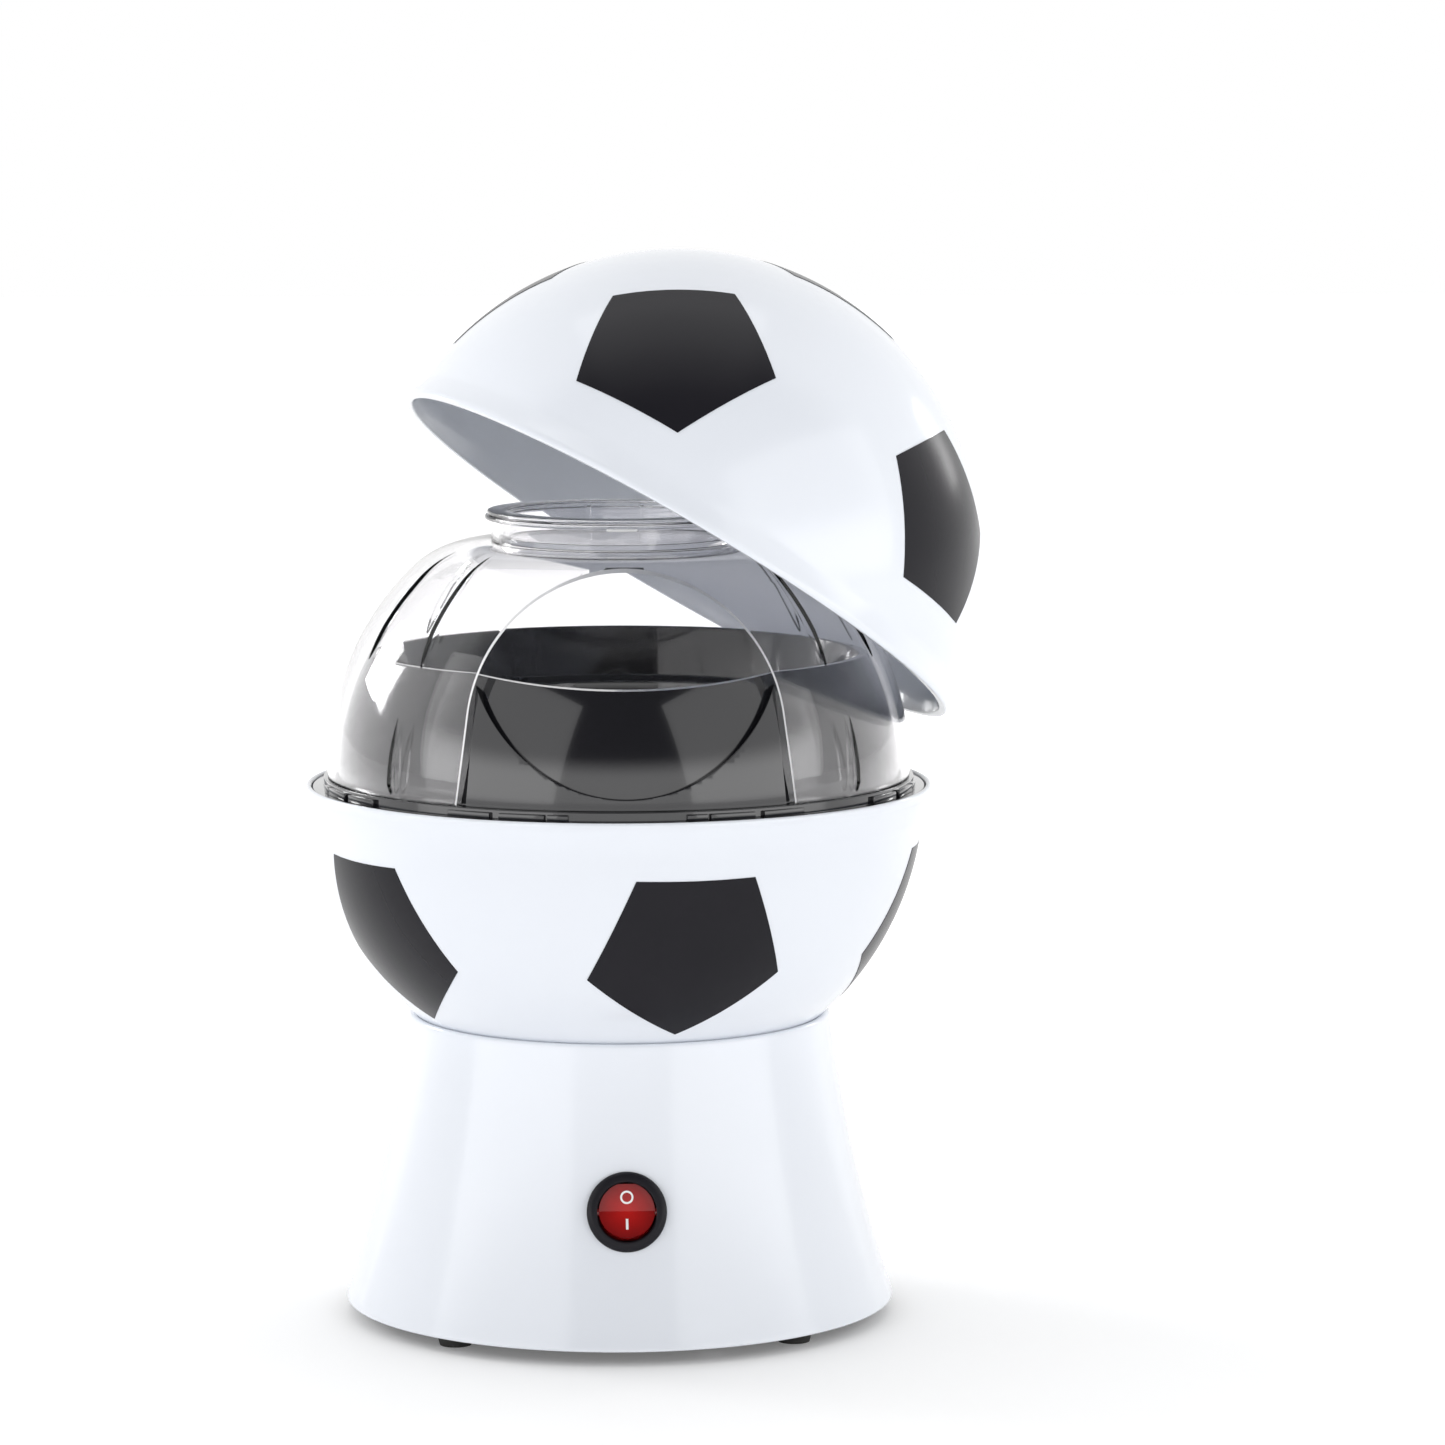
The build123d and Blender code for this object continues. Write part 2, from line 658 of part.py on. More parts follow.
nodes = [
    base_housing, base_plate, rubber_feet, base_screws, lower_bowl, bowl_patches, bowl_screws,
    chute_collar, rim_ring, popping_chamber, heater_shroud, collar_screws, mica_cross, heater_coil,
    thermostat, thermal_fuse, motor_can, motor_bracket, motor_screws, motor_shaft, fan,
    rectifier_board, rectifier_diodes, switch_body, switch_terminals, switch_rocker, rocker_marks,
    cord_gland, gland_nut, clear_cover, measuring_cup, lid_shell, lid_patches,
]

os.makedirs("parts", exist_ok=True)
for make in nodes:
    export_step(make(), f"parts/{make.__name__}.step")
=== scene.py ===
import json
from math import cos, pi, radians, sin, sqrt, tan

import bmesh
import bpy
import numpy as np
from mathutils import Matrix, Vector


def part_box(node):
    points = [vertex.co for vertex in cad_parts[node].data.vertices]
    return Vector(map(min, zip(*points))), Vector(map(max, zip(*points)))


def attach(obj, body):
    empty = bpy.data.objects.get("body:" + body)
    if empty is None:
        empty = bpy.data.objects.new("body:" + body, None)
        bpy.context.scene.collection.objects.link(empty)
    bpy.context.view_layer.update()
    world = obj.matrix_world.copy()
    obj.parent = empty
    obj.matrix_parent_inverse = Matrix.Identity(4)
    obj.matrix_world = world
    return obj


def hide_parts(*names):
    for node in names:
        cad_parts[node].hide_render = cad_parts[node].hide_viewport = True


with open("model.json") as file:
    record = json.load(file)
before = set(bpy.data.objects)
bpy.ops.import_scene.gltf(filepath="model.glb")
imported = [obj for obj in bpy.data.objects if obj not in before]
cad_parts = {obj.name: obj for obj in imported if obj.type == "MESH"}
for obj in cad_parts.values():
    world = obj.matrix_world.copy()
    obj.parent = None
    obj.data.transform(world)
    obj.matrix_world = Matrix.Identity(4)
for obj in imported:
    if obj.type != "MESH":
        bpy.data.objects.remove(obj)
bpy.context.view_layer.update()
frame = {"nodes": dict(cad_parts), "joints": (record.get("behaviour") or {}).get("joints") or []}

print("frame loaded")

# Metres, +Z up, front towards -Y. The ball, the base and the cover all turn round the Z axis.

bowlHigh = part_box("lower_bowl")[1]
baseLow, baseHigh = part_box("base_housing")
ringLow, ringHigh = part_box("rim_ring")
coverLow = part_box("clear_cover")[0]
chamberLow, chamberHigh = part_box("popping_chamber")
rimZ = bowlHigh.z                      # top of the lower bowl's lip
lipRadius = bowlHigh.x
lidJoint = next(j for j in frame["joints"] if j["name"] == "lid_lift")


cameraSet = dict(distance=1.750, azimuth=-91.65, height=0.3876, aimSide=0.0306, aimHeight=0.1747, focal=149.1)


def addCamera():
    turn = radians(cameraSet["azimuth"])
    spot = Vector((cos(turn), sin(turn), 0)) * cameraSet["distance"]
    spot.z = cameraSet["height"]
    aim = Vector((cameraSet["aimSide"], 0, cameraSet["aimHeight"]))
    data = bpy.data.cameras.new("camera")
    data.lens = cameraSet["focal"]
    data.sensor_width = 36
    data.clip_end = 50
    camera = bpy.data.objects.new("camera", data)
    camera.location = spot
    camera.rotation_euler = (aim - spot).to_track_quat("-Z", "Y").to_euler()
    bpy.context.scene.collection.objects.link(camera)
    bpy.context.scene.camera = camera


addCamera()
print("camera set")


class Val:
    # a socket whose sums, products and so on add Math nodes
    def __init__(self, maker, socket):
        self.maker = maker
        self.socket = socket

    def math(self, operation, *values):
        sockets = dict(enumerate((self, *values)))
        node = self.maker.add("ShaderNodeMath", dict(operation=operation), sockets)
        return Val(self.maker, node.outputs[0])

    def swapped(self, operation, value):
        node = self.maker.add("ShaderNodeMath", dict(operation=operation), {0: value, 1: self})
        return Val(self.maker, node.outputs[0])

    def __add__(self, other):
        return self.math("ADD", other)

    def __sub__(self, other):
        return self.math("SUBTRACT", other)

    def __mul__(self, other):
        return self.math("MULTIPLY", other)

    def __truediv__(self, other):
        return self.math("DIVIDE", other)

    def __radd__(self, other):
        return self.math("ADD", other)

    def __rsub__(self, other):
        return self.swapped("SUBTRACT", other)

    def __rmul__(self, other):
        return self.math("MULTIPLY", other)


class Maker:
    # adds nodes to one shader or geometry tree
    def __init__(self, tree):
        self.tree = tree

    def feed(self, socket, value):
        if isinstance(value, Val):
            value = value.socket
        if isinstance(value, bpy.types.NodeSocket):
            self.tree.links.new(value, socket)
        else:
            socket.default_value = value

    def add(self, kind, settings=None, sockets=None):
        node = self.tree.nodes.new(kind)
        for key, value in (settings or {}).items():
            if key == "stops":
                ramp = node.color_ramp
                while len(ramp.elements) < len(value):
                    ramp.elements.new(0.5)
                for element, (place, colour) in zip(ramp.elements, value):
                    element.position = place
                    element.color = colour
            else:
                setattr(node, key, value)
        for key, value in (sockets or {}).items():
            self.feed(node.inputs[key], value)
        return node

    def val(self, kind, settings=None, sockets=None, out=0):
        return Val(self, self.add(kind, settings, sockets).outputs[out])


def rgba(colour):
    return (*colour, 1.0)


def newMaterial(name):
    material = bpy.data.materials.new(name)
    material.use_nodes = True
    material.node_tree.nodes.clear()
    return material, Maker(material.node_tree)


def finishMaterial(maker, sockets):
    shader = maker.add("ShaderNodeBsdfPrincipled", {}, sockets)
    maker.add("ShaderNodeOutputMaterial", {}, {"Surface": shader.outputs[0]})


def objectNoise(maker, scale, detail=3.0, stretch=(1, 1, 1)):
    where = maker.val("ShaderNodeTexCoord", out="Object")
    where = maker.val("ShaderNodeMapping", {}, {"Vector": where, "Scale": stretch})
    return maker.val("ShaderNodeTexNoise", {}, {"Vector": where, "Scale": scale, "Detail": detail}, "Fac")


def twoTone(maker, factor, dark, light):
    mix = maker.add("ShaderNodeMix", dict(data_type="RGBA"), {0: factor, 6: rgba(dark), 7: rgba(light)})
    return mix.outputs[2]


def mouldedMaterial(name, look):
    # moulded or printed plastic: faint clouding, uneven gloss and a fine skin
    material, maker = newMaterial(name)
    cloud = objectNoise(maker, look["cloudScale"])
    grain = objectNoise(maker, look["grainScale"], 2.0)
    bump = maker.add("ShaderNodeBump", {}, {"Strength": look["bump"], "Distance": look["depth"], "Height": grain})
    finishMaterial(maker, {
        "Base Color": twoTone(maker, cloud, look["dark"], look["light"]),
        "Roughness": look["rough"] + (cloud - 0.5) * look["roughSwing"],
        "Normal": bump.outputs[0], "Coat Weight": look["coat"], "Coat Roughness": 0.04,
        "IOR": look.get("ior", 1.5), "Specular IOR Level": look.get("specular", 0.5),
    })
    return material


def sheetMetal(name, look):
    # rolled, drawn or turned metal with streaks along one direction
    material, maker = newMaterial(name)
    streak = objectNoise(maker, look["streakScale"], 4.0, look["stretch"])
    tint = objectNoise(maker, 18.0)
    bump = maker.add("ShaderNodeBump", {}, {"Strength": look["bump"], "Distance": 0.0002, "Height": streak})
    finishMaterial(maker, {
        "Base Color": twoTone(maker, tint, look["dark"], look["light"]), "Metallic": 1.0,
        "Roughness": look["rough"] + (streak - 0.5) * 0.2, "Normal": bump.outputs[0],
    })
    return material


def clearMaterial(name, look):
    # polished clear moulding with a barely uneven skin
    material, maker = newMaterial(name)
    ripple = objectNoise(maker, look["rippleScale"], 2.0)
    bump = maker.add("ShaderNodeBump", {}, {"Strength": look["bump"], "Distance": 0.0003, "Height": ripple})
    glass = maker.add("ShaderNodeBsdfPrincipled", {}, {
        "Base Color": rgba(look["tint"]), "Roughness": 0.01 + ripple * look["rough"],
        "Transmission Weight": 1.0, "IOR": look["ior"], "Normal": bump.outputs[0],
    })
    # light reaches what is inside, as it does through a thin clear wall
    path = maker.add("ShaderNodeLightPath")
    passing = Val(maker, path.outputs["Is Shadow Ray"]).math("MAXIMUM", path.outputs["Is Diffuse Ray"])
    through = maker.add("ShaderNodeBsdfTransparent", {}, {"Color": rgba(look["through"])})
    mix = maker.add("ShaderNodeMixShader", {}, {0: passing, 1: glass.outputs[0], 2: through.outputs[0]})
    maker.add("ShaderNodeOutputMaterial", {}, {"Surface": mix.outputs[0]})
    return material


def redLensMaterial(name, look):
    # dyed see-through cap, with a painted glow: lighter red in its middle and faintly emitting, as if lit from
    # within
    material, maker = newMaterial(name)
    where = maker.val("ShaderNodeTexCoord", out="Object")
    centre = look["centre"]
    away = maker.add("ShaderNodeVectorMath", dict(operation="DISTANCE"), {0: where, 1: centre})
    far = Val(maker, away.outputs["Value"]) / look["radius"]
    cloud = objectNoise(maker, 260.0)
    # painted glow: 0 in the middle, where the light red goes, to 1 at the edge, where the dark red goes; the same
    # mix feeds the emission
    glow = far.math("MINIMUM", 1.0)
    finishMaterial(maker, {
        "Base Color": twoTone(maker, glow + (cloud - 0.5) * 0.2, look["light"], look["dark"]),
        "Roughness": 0.12 + cloud * 0.06, "Transmission Weight": look["clear"], "IOR": 1.5,
        "Coat Weight": 0.4, "Emission Color": twoTone(maker, glow, look["light"], look["dark"]),
        "Emission Strength": look["glow"],
    })
    return material


plasticLooks = dict(
    whiteGloss=dict(dark=(0.74, 0.77, 0.83), light=(0.78, 0.81, 0.86), rough=0.16, roughSwing=0.05, coat=0.3,
                    cloudScale=9.0, grainScale=700.0, bump=0.04, depth=0.0001),
    blackPrint=dict(dark=(0.010, 0.010, 0.013), light=(0.015, 0.014, 0.018), rough=0.24, roughSwing=0.06, coat=0.0,
                    cloudScale=30.0, grainScale=1500.0, bump=0.05, depth=0.0001, specular=0.15),
    blackGloss=dict(dark=(0.006, 0.006, 0.008), light=(0.011, 0.011, 0.014), rough=0.12, roughSwing=0.05, coat=0.7,
                    cloudScale=14.0, grainScale=900.0, bump=0.04, depth=0.0001),
    blackSatin=dict(dark=(0.012, 0.012, 0.013), light=(0.03, 0.03, 0.032), rough=0.42, roughSwing=0.12, coat=0.0,
                    cloudScale=40.0, grainScale=2600.0, bump=0.25, depth=0.0002),
    rubberBlack=dict(dark=(0.010, 0.010, 0.010), light=(0.028, 0.027, 0.026), rough=0.7, roughSwing=0.2, coat=0.0,
                     cloudScale=120.0, grainScale=3000.0, bump=0.4, depth=0.0002),
    fanNylon=dict(dark=(0.035, 0.035, 0.038), light=(0.06, 0.06, 0.065), rough=0.45, roughSwing=0.1, coat=0.0,
                  cloudScale=60.0, grainScale=1800.0, bump=0.2, depth=0.0002),
    whitePrint=dict(dark=(0.78, 0.78, 0.78), light=(0.9, 0.9, 0.9), rough=0.4, roughSwing=0.1, coat=0.0,
                    cloudScale=300.0, grainScale=4000.0, bump=0.1, depth=0.00005),
    micaSheet=dict(dark=(0.38, 0.30, 0.18), light=(0.62, 0.54, 0.38), rough=0.35, roughSwing=0.2, coat=0.2,
                   cloudScale=160.0, grainScale=1200.0, bump=0.3, depth=0.0002),
    ceramicTan=dict(dark=(0.55, 0.48, 0.37), light=(0.72, 0.66, 0.54), rough=0.75, roughSwing=0.1, coat=0.0,
                    cloudScale=90.0, grainScale=2500.0, bump=0.4, depth=0.0003),
    boardTan=dict(dark=(0.36, 0.24, 0.08), light=(0.52, 0.38, 0.15), rough=0.5, roughSwing=0.1, coat=0.1,
                  cloudScale=220.0, grainScale=2200.0, bump=0.2, depth=0.0002),
)
metalLooks = dict(
    tinPlate=dict(dark=(0.42, 0.42, 0.43), light=(0.62, 0.62, 0.63), rough=0.32, streakScale=60.0,
                  stretch=(1, 1, 9), bump=0.15),
    zincSteel=dict(dark=(0.45, 0.45, 0.46), light=(0.66, 0.66, 0.68), rough=0.3, streakScale=400.0,
                   stretch=(1, 1, 1), bump=0.1),
    chamberMetal=dict(dark=(0.66, 0.66, 0.67), light=(0.83, 0.83, 0.84), rough=0.26, streakScale=90.0,
                      stretch=(0.4, 0.4, 14), bump=0.2),
    heaterWire=dict(dark=(0.16, 0.14, 0.13), light=(0.34, 0.31, 0.29), rough=0.5, streakScale=500.0,
                    stretch=(1, 1, 1), bump=0.2),
    brassBlade=dict(dark=(0.52, 0.38, 0.15), light=(0.74, 0.57, 0.28), rough=0.28, streakScale=300.0,
                    stretch=(1, 1, 6), bump=0.1),
)
clearLook = dict(tint=(0.985, 0.98, 0.99), through=(0.93, 0.93, 0.94), ior=1.49, rippleScale=26.0, bump=0.05,
                 rough=0.02)

looks = {name: mouldedMaterial(name, look) for name, look in plasticLooks.items()}
looks.update({name: sheetMetal(name, look) for name, look in metalLooks.items()})
looks["clearPlastic"] = clearMaterial("clearPlastic", clearLook)
rockerLow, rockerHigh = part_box("switch_rocker")
# glow, centre and radius set the rocker's painted glow: a faint emission and a lighter middle
redLook = dict(dark=(0.16, 0.003, 0.004), light=(0.62, 0.012, 0.010), clear=0.25, glow=0.06, radius=0.0095,
               centre=((rockerLow + rockerHigh) / 2))
looks["redLens"] = redLensMaterial("redLens", redLook)
print("materials made:", len(looks))


def newTree(name, inputs):
    tree = bpy.data.node_groups.new(name, "GeometryNodeTree")
    tree.interface.new_socket("Geometry", in_out="INPUT", socket_type="NodeSocketGeometry")
    for title, kind in inputs.items():
        tree.interface.new_socket(title, in_out="INPUT", socket_type="NodeSocket" + kind)
    tree.interface.new_socket("Geometry", in_out="OUTPUT", socket_type="NodeSocketGeometry")
    maker = Maker(tree)
    entry = maker.add("NodeGroupInput")
    given = {title: Val(maker, entry.outputs[title]) for title in ("Geometry", *inputs)}
    return tree, maker, given


def endTree(maker, geometry, material):
    real = maker.add("GeometryNodeRealizeInstances", {}, {0: geometry})
    painted = maker.add("GeometryNodeSetMaterial", {}, {"Geometry": real.outputs[0], "Material": material})
    maker.add("NodeGroupOutput", {}, {0: painted.outputs[0]})


def makeLatheTree():
    # turns the object's own points, taken as an outline in order, once round Z
    tree, maker, given = newTree("latheOutline", {"Segments": "Int", "Material": "Material"})
    count = maker.val("GeometryNodeAttributeDomainSize", {}, {"Geometry": given["Geometry"]})
    grid = maker.add("GeometryNodeMeshGrid", {}, {
        "Size X": 1.0, "Size Y": 1.0, "Vertices X": count, "Vertices Y": given["Segments"] + 1,
    })
    place = maker.add("ShaderNodeSeparateXYZ", {}, {0: maker.val("GeometryNodeInputPosition")})
    row = ((Val(maker, place.outputs["X"]) + 0.5) * (count - 1)).math("ROUND")
    turn = (Val(maker, place.outputs["Y"]) + 0.5) * (2 * pi)
    outline = maker.add("GeometryNodeSampleIndex", dict(data_type="FLOAT_VECTOR"), {
        "Geometry": given["Geometry"], "Value": maker.val("GeometryNodeInputPosition"), "Index": row,
    })
    point = maker.add("ShaderNodeSeparateXYZ", {}, {0: outline.outputs[0]})
    radius = Val(maker, point.outputs["X"])
    spot = maker.val("ShaderNodeCombineXYZ", {}, {
        "X": radius * turn.math("COSINE"), "Y": radius * turn.math("SINE"), "Z": point.outputs["Z"],
    })
    moved = maker.val("GeometryNodeSetPosition", {}, {"Geometry": grid.outputs[0], "Position": spot})
    welded = maker.val("GeometryNodeMergeByDistance", {}, {"Geometry": moved, "Distance": 1e-6})
    endTree(maker, welded, given["Material"])
    return tree


def makePatchTree():
    # five-cornered inlay on a sphere, its sides on planes through the sphere's centre
    tree, maker, given = newTree("ballPatch", {
        "Radius": "Float", "Sink": "Float", "Corner": "Float", "Polar": "Float", "Azimuth": "Float",
        "Turn": "Float", "Centre": "Float", "Material": "Material",
    })
    flat = maker.add("GeometryNodeMeshCircle", dict(fill_type="TRIANGLE_FAN"), {
        "Vertices": 5, "Radius": given["Corner"].math("TANGENT"),
    })
    fine = maker.val("GeometryNodeSubdivideMesh", {}, {"Mesh": flat.outputs[0], "Level": 5})
    raised = maker.val("GeometryNodeTransform", {}, {"Geometry": fine, "Translation": (0, 0, 1)})
    where = maker.val("GeometryNodeInputPosition")
    aim = maker.add("ShaderNodeVectorMath", dict(operation="NORMALIZE"), {0: where})
    layers = []
    for radius in (given["Radius"], given["Radius"] - given["Sink"]):
        spot = maker.add("ShaderNodeVectorMath", dict(operation="SCALE"), {0: aim.outputs[0], "Scale": radius})
        layers.append(maker.val("GeometryNodeSetPosition", {}, {
            "Geometry": raised, "Position": spot.outputs[0],
        }))
    depth = given["Sink"]
    walls = maker.add("GeometryNodeExtrudeMesh", dict(mode="FACES"), {
        "Mesh": layers[1], "Offset Scale": depth, "Individual": False,
    })
    floor = maker.val("GeometryNodeFlipFaces", {}, {0: layers[1]})
    joined = maker.add("GeometryNodeJoinGeometry")
    maker.feed(joined.inputs[0], floor)
    maker.feed(joined.inputs[0], walls.outputs[0])
    body = maker.val("GeometryNodeMergeByDistance", {}, {"Geometry": joined.outputs[0], "Distance": 1e-6})
    for angle, axis in ((given["Turn"], "Z"), (given["Polar"], "Y"), (given["Azimuth"], "Z")):
        turned = maker.add("ShaderNodeCombineXYZ", {}, {axis: angle})
        body = maker.val("GeometryNodeTransform", {}, {"Geometry": body, "Rotation": turned.outputs[0]})
    lift = maker.add("ShaderNodeCombineXYZ", {}, {"Z": given["Centre"]})
    body = maker.val("GeometryNodeTransform", {}, {"Geometry": body, "Translation": lift.outputs[0]})
    endTree(maker, body, given["Material"])
    return tree


def makeRingTree():
    # copies of the object's own mesh, spaced evenly round Z and turned with it
    tree, maker, given = newTree("ringOfItems", {"Count": "Int", "Start": "Float", "Material": "Material"})
    line = maker.add("GeometryNodeMeshLine", {}, {"Count": given["Count"], "Offset": (0, 0, 0)})
    index = maker.val("GeometryNodeInputIndex")
    turn = given["Start"] + index * (2 * pi) / given["Count"]
    angle = maker.add("ShaderNodeCombineXYZ", {}, {"Z": turn})
    copies = maker.val("GeometryNodeInstanceOnPoints", {}, {
        "Points": line.outputs[0], "Instance": given["Geometry"], "Rotation": angle.outputs[0],
    })
    endTree(maker, copies, given["Material"])
    return tree


def makeMirrorTree():
    # four copies of the object's own mesh, at equal angles left and right of the front
    tree, maker, given = newTree("mirroredItems", {"Near": "Float", "Far": "Float", "Material": "Material"})
    line = maker.add("GeometryNodeMeshLine", {}, {"Count": 4, "Offset": (0, 0, 0)})
    index = maker.val("GeometryNodeInputIndex")
    side = 1 - index.math("MODULO", 2.0) * 2
    away = given["Near"] + (index / 2).math("FLOOR") * (given["Far"] - given["Near"])
    angle = maker.add("ShaderNodeCombineXYZ", {}, {"Z": side * away - pi / 2})
    copies = maker.val("GeometryNodeInstanceOnPoints", {}, {
        "Points": line.outputs[0], "Instance": given["Geometry"], "Rotation": angle.outputs[0],
    })
    endTree(maker, copies, given["Material"])
    return tree


latheTree, patchTree, ringTree, mirrorTree = makeLatheTree(), makePatchTree(), makeRingTree(), makeMirrorTree()
print("geometry trees made")


def newObject(name, mesh):
    piece = bpy.data.objects.new(name, mesh)
    bpy.context.scene.collection.objects.link(piece)
    return piece


def meshFrom(name, points, faces=()):
    mesh = bpy.data.meshes.new(name)
    mesh.from_pydata([tuple(p) for p in points], [], [tuple(f) for f in faces])
    return newObject(name, mesh)


def nodesModifier(piece, tree, values):
    modifier = piece.modifiers.new(tree.name, "NODES")
    modifier.node_group = tree
    for item in tree.interface.items_tree:
        if item.name in values:
            modifier[item.identifier] = values[item.name]
    return modifier


def bake(piece):
    # puts the modifiers' result into the mesh and removes them
    bpy.context.view_layer.update()
    graph = bpy.context.evaluated_depsgraph_get()
    mesh = bpy.data.meshes.new_from_object(piece.evaluated_get(graph))
    piece.modifiers.clear()
    old = piece.data
    piece.data = mesh
    bpy.data.meshes.remove(old)
    return piece


def outward(piece, sharp=32.0):
    # welds, turns all faces outwards and keeps edges crisper than the angle sharp
    shape = bmesh.new()
    shape.from_mesh(piece.data)
    bmesh.ops.remove_doubles(shape, verts=shape.verts, dist=1e-6)
    bmesh.ops.dissolve_degenerate(shape, edges=shape.edges, dist=1e-7)
    bmesh.ops.recalc_face_normals(shape, faces=shape.faces)
    shape.to_mesh(piece.data)
    shape.free()
    piece.data.shade_smooth()
    piece.data.set_sharp_from_angle(angle=radians(sharp))
    return piece


def lathe(name, outline, look, segments=256):
    ring = [*outline, outline[0]] if np.linalg.norm(np.subtract(outline[0], outline[-1])) > 1e-7 else outline
    piece = meshFrom(name, [(r, 0, z) for r, z in ring])
    nodesModifier(piece, latheTree, {"Segments": segments, "Material": looks[look]})
    return outward(bake(piece))


def ringOf(piece, look, count, start=0.0):
    nodesModifier(piece, ringTree, {"Count": count, "Start": radians(start), "Material": looks[look]})
    return bake(piece)


def mirrored(piece, look, near, far):
    nodesModifier(piece, mirrorTree, {"Near": radians(near), "Far": radians(far), "Material": looks[look]})
    return bake(piece)


def combine(piece, other, operation):
    modifier = piece.modifiers.new("cut", "BOOLEAN")
    modifier.operation = operation
    modifier.solver = "MANIFOLD"
    modifier.object = other
    bake(piece)
    bpy.data.objects.remove(other)
    return piece


def joined(name, pieces, look):
    shape = bmesh.new()
    for piece in pieces:
        shape.from_mesh(piece.data)
        bpy.data.objects.remove(piece)
    mesh = bpy.data.meshes.new(name)
    shape.to_mesh(mesh)
    shape.free()
    mesh.materials.append(looks[look])
    return newObject(name, mesh)


def paint(piece, look):
    piece.data.materials.clear()
    piece.data.materials.append(looks[look])
    return piece


def softened(piece, width, segments=3, angle=35.0):
    modifier = piece.modifiers.new("edge", "BEVEL")
    modifier.width = width
    modifier.segments = segments
    modifier.limit_method = "ANGLE"
    modifier.angle_limit = radians(angle)
    modifier.use_clamp_overlap = True
    modifier.harden_normals = False
    return bake(piece)


def prism(name, outline, low, high, axis="Y"):
    # an outline in XZ (or XY) carried from low to high along the other axis
    count = len(outline)
    ends = []
    for depth in (low, high):
        ends += [(a, depth, b) if axis == "Y" else (a, b, depth) for a, b in outline]
    faces = [list(range(count)), list(range(2 * count - 1, count - 1, -1))]
    faces += [(k, (k + 1) % count, (k + 1) % count + count, k + count) for k in range(count)]
    return outward(meshFrom(name, ends, faces))


def boxPiece(name, size, centre):
    x, y, z = (s / 2 for s in size)
    block = prism(name, [(-x, -y), (x, -y), (x, y), (-x, y)], -z, z, "Z")
    block.data.transform(Matrix.Translation(centre))
    return block


def arc(start, through, end, steps):
    # points on the circle through three points, from start to end
    a, b, c = (np.array(p, float) for p in (start, through, end))
    system = 2 * np.array([b - a, c - a])
    centre = np.linalg.solve(system, [b @ b - a @ a, c @ c - a @ a])
    angles = [np.arctan2(*(p - centre)[::-1]) for p in (a, b, c)]
    unrolled = np.unwrap(angles)
    sweep = np.linspace(unrolled[0], unrolled[2], steps)
    return centre + np.linalg.norm(a - centre) * np.stack([np.cos(sweep), np.sin(sweep)], -1)


def softCorners(outline, radius, steps=5, sharp=24.0):
    # rounds every corner of a closed outline that turns by more than sharp degrees
    points = [np.array(p, float) for p in outline]
    count = len(points)
    result = []
    for k, here in enumerate(points):
        before, after = points[k - 1] - here, points[(k + 1) % count] - here
        near, far = np.linalg.norm(before), np.linalg.norm(after)
        turn = pi - np.arccos(np.clip(before @ after / (near * far), -1, 1))
        onAxis = abs(here[0]) < 1e-6
        if turn < radians(sharp) or onAxis:
            result.append(here)
            continue
        cut = min(radius * tan(turn / 2), 0.45 * near, 0.45 * far)
        start, end = here + before / near * cut, here + after / far * cut
        for t in np.linspace(0, 1, steps):
            result.append((1 - t) ** 2 * start + 2 * t * (1 - t) * here + t * t * end)
    return result


def sphereArc(radius, centreZ, fromAngle, toAngle, steps):
    # part of a circle round (0, centreZ), with angles in radians up from the level
    sweep = np.linspace(fromAngle, toAngle, steps)
    return [(radius * cos(t), centreZ + radius * sin(t)) for t in sweep]


baseSet = dict(midRadius=0.0704, midHeight=0.0426, topRadius=0.0622, wall=0.0024, shelfTop=0.0784,
               shelfThick=0.0024, shelfInner=0.050, edge=0.0011, holeRadius=0.0100, bezelSeat=0.01155,
               glandHole=0.0062, glandSeat=0.00905, glandHeight=0.020, ballClear=0.0001)
bowlSet = dict(radius=0.0898, centreZ=0.156, wall=0.0024, bottomZ=0.084, shoulder=0.0100, flareIn=0.0013,
               flareLow=0.0052, flareTop=0.0022, lipEdge=0.0008, ringSeat=0.0049, ringGap=0.0001, edge=0.0005)


def baseSide(inset, steps=40):
    foot = (baseHigh.x - inset, baseLow.z)
    middle = (baseSet["midRadius"] - inset, baseSet["midHeight"])
    top = (baseSet["topRadius"] - inset, baseHigh.z)
    return arc(foot, middle, top, steps)


def sidePlace(sign, height):
    # matrix of a seat on the base's side at the front (-1) or back (1), its Z pointing out
    slope = (baseHigh.x - baseSet["topRadius"]) / (baseHigh.z - baseLow.z)
    side = baseSide(0, 400)
    radius = np.interp(height, side[:, 1], side[:, 0])
    out = Vector((0, sign, slope)).normalized()
    right = Vector((-sign, 0, 0))
    turn = Matrix((right, out.cross(right), out)).transposed().to_4x4()
    return Matrix.Translation((0, sign * radius, height)) @ turn


def disc(name, radius, low, high, segments=96):
    # a plain round bar along Z, used only to cut holes
    ring = [(radius * cos(t), radius * sin(t)) for t in np.linspace(0, 2 * pi, segments, endpoint=False)]
    return prism(name, ring, low, high, "Z")


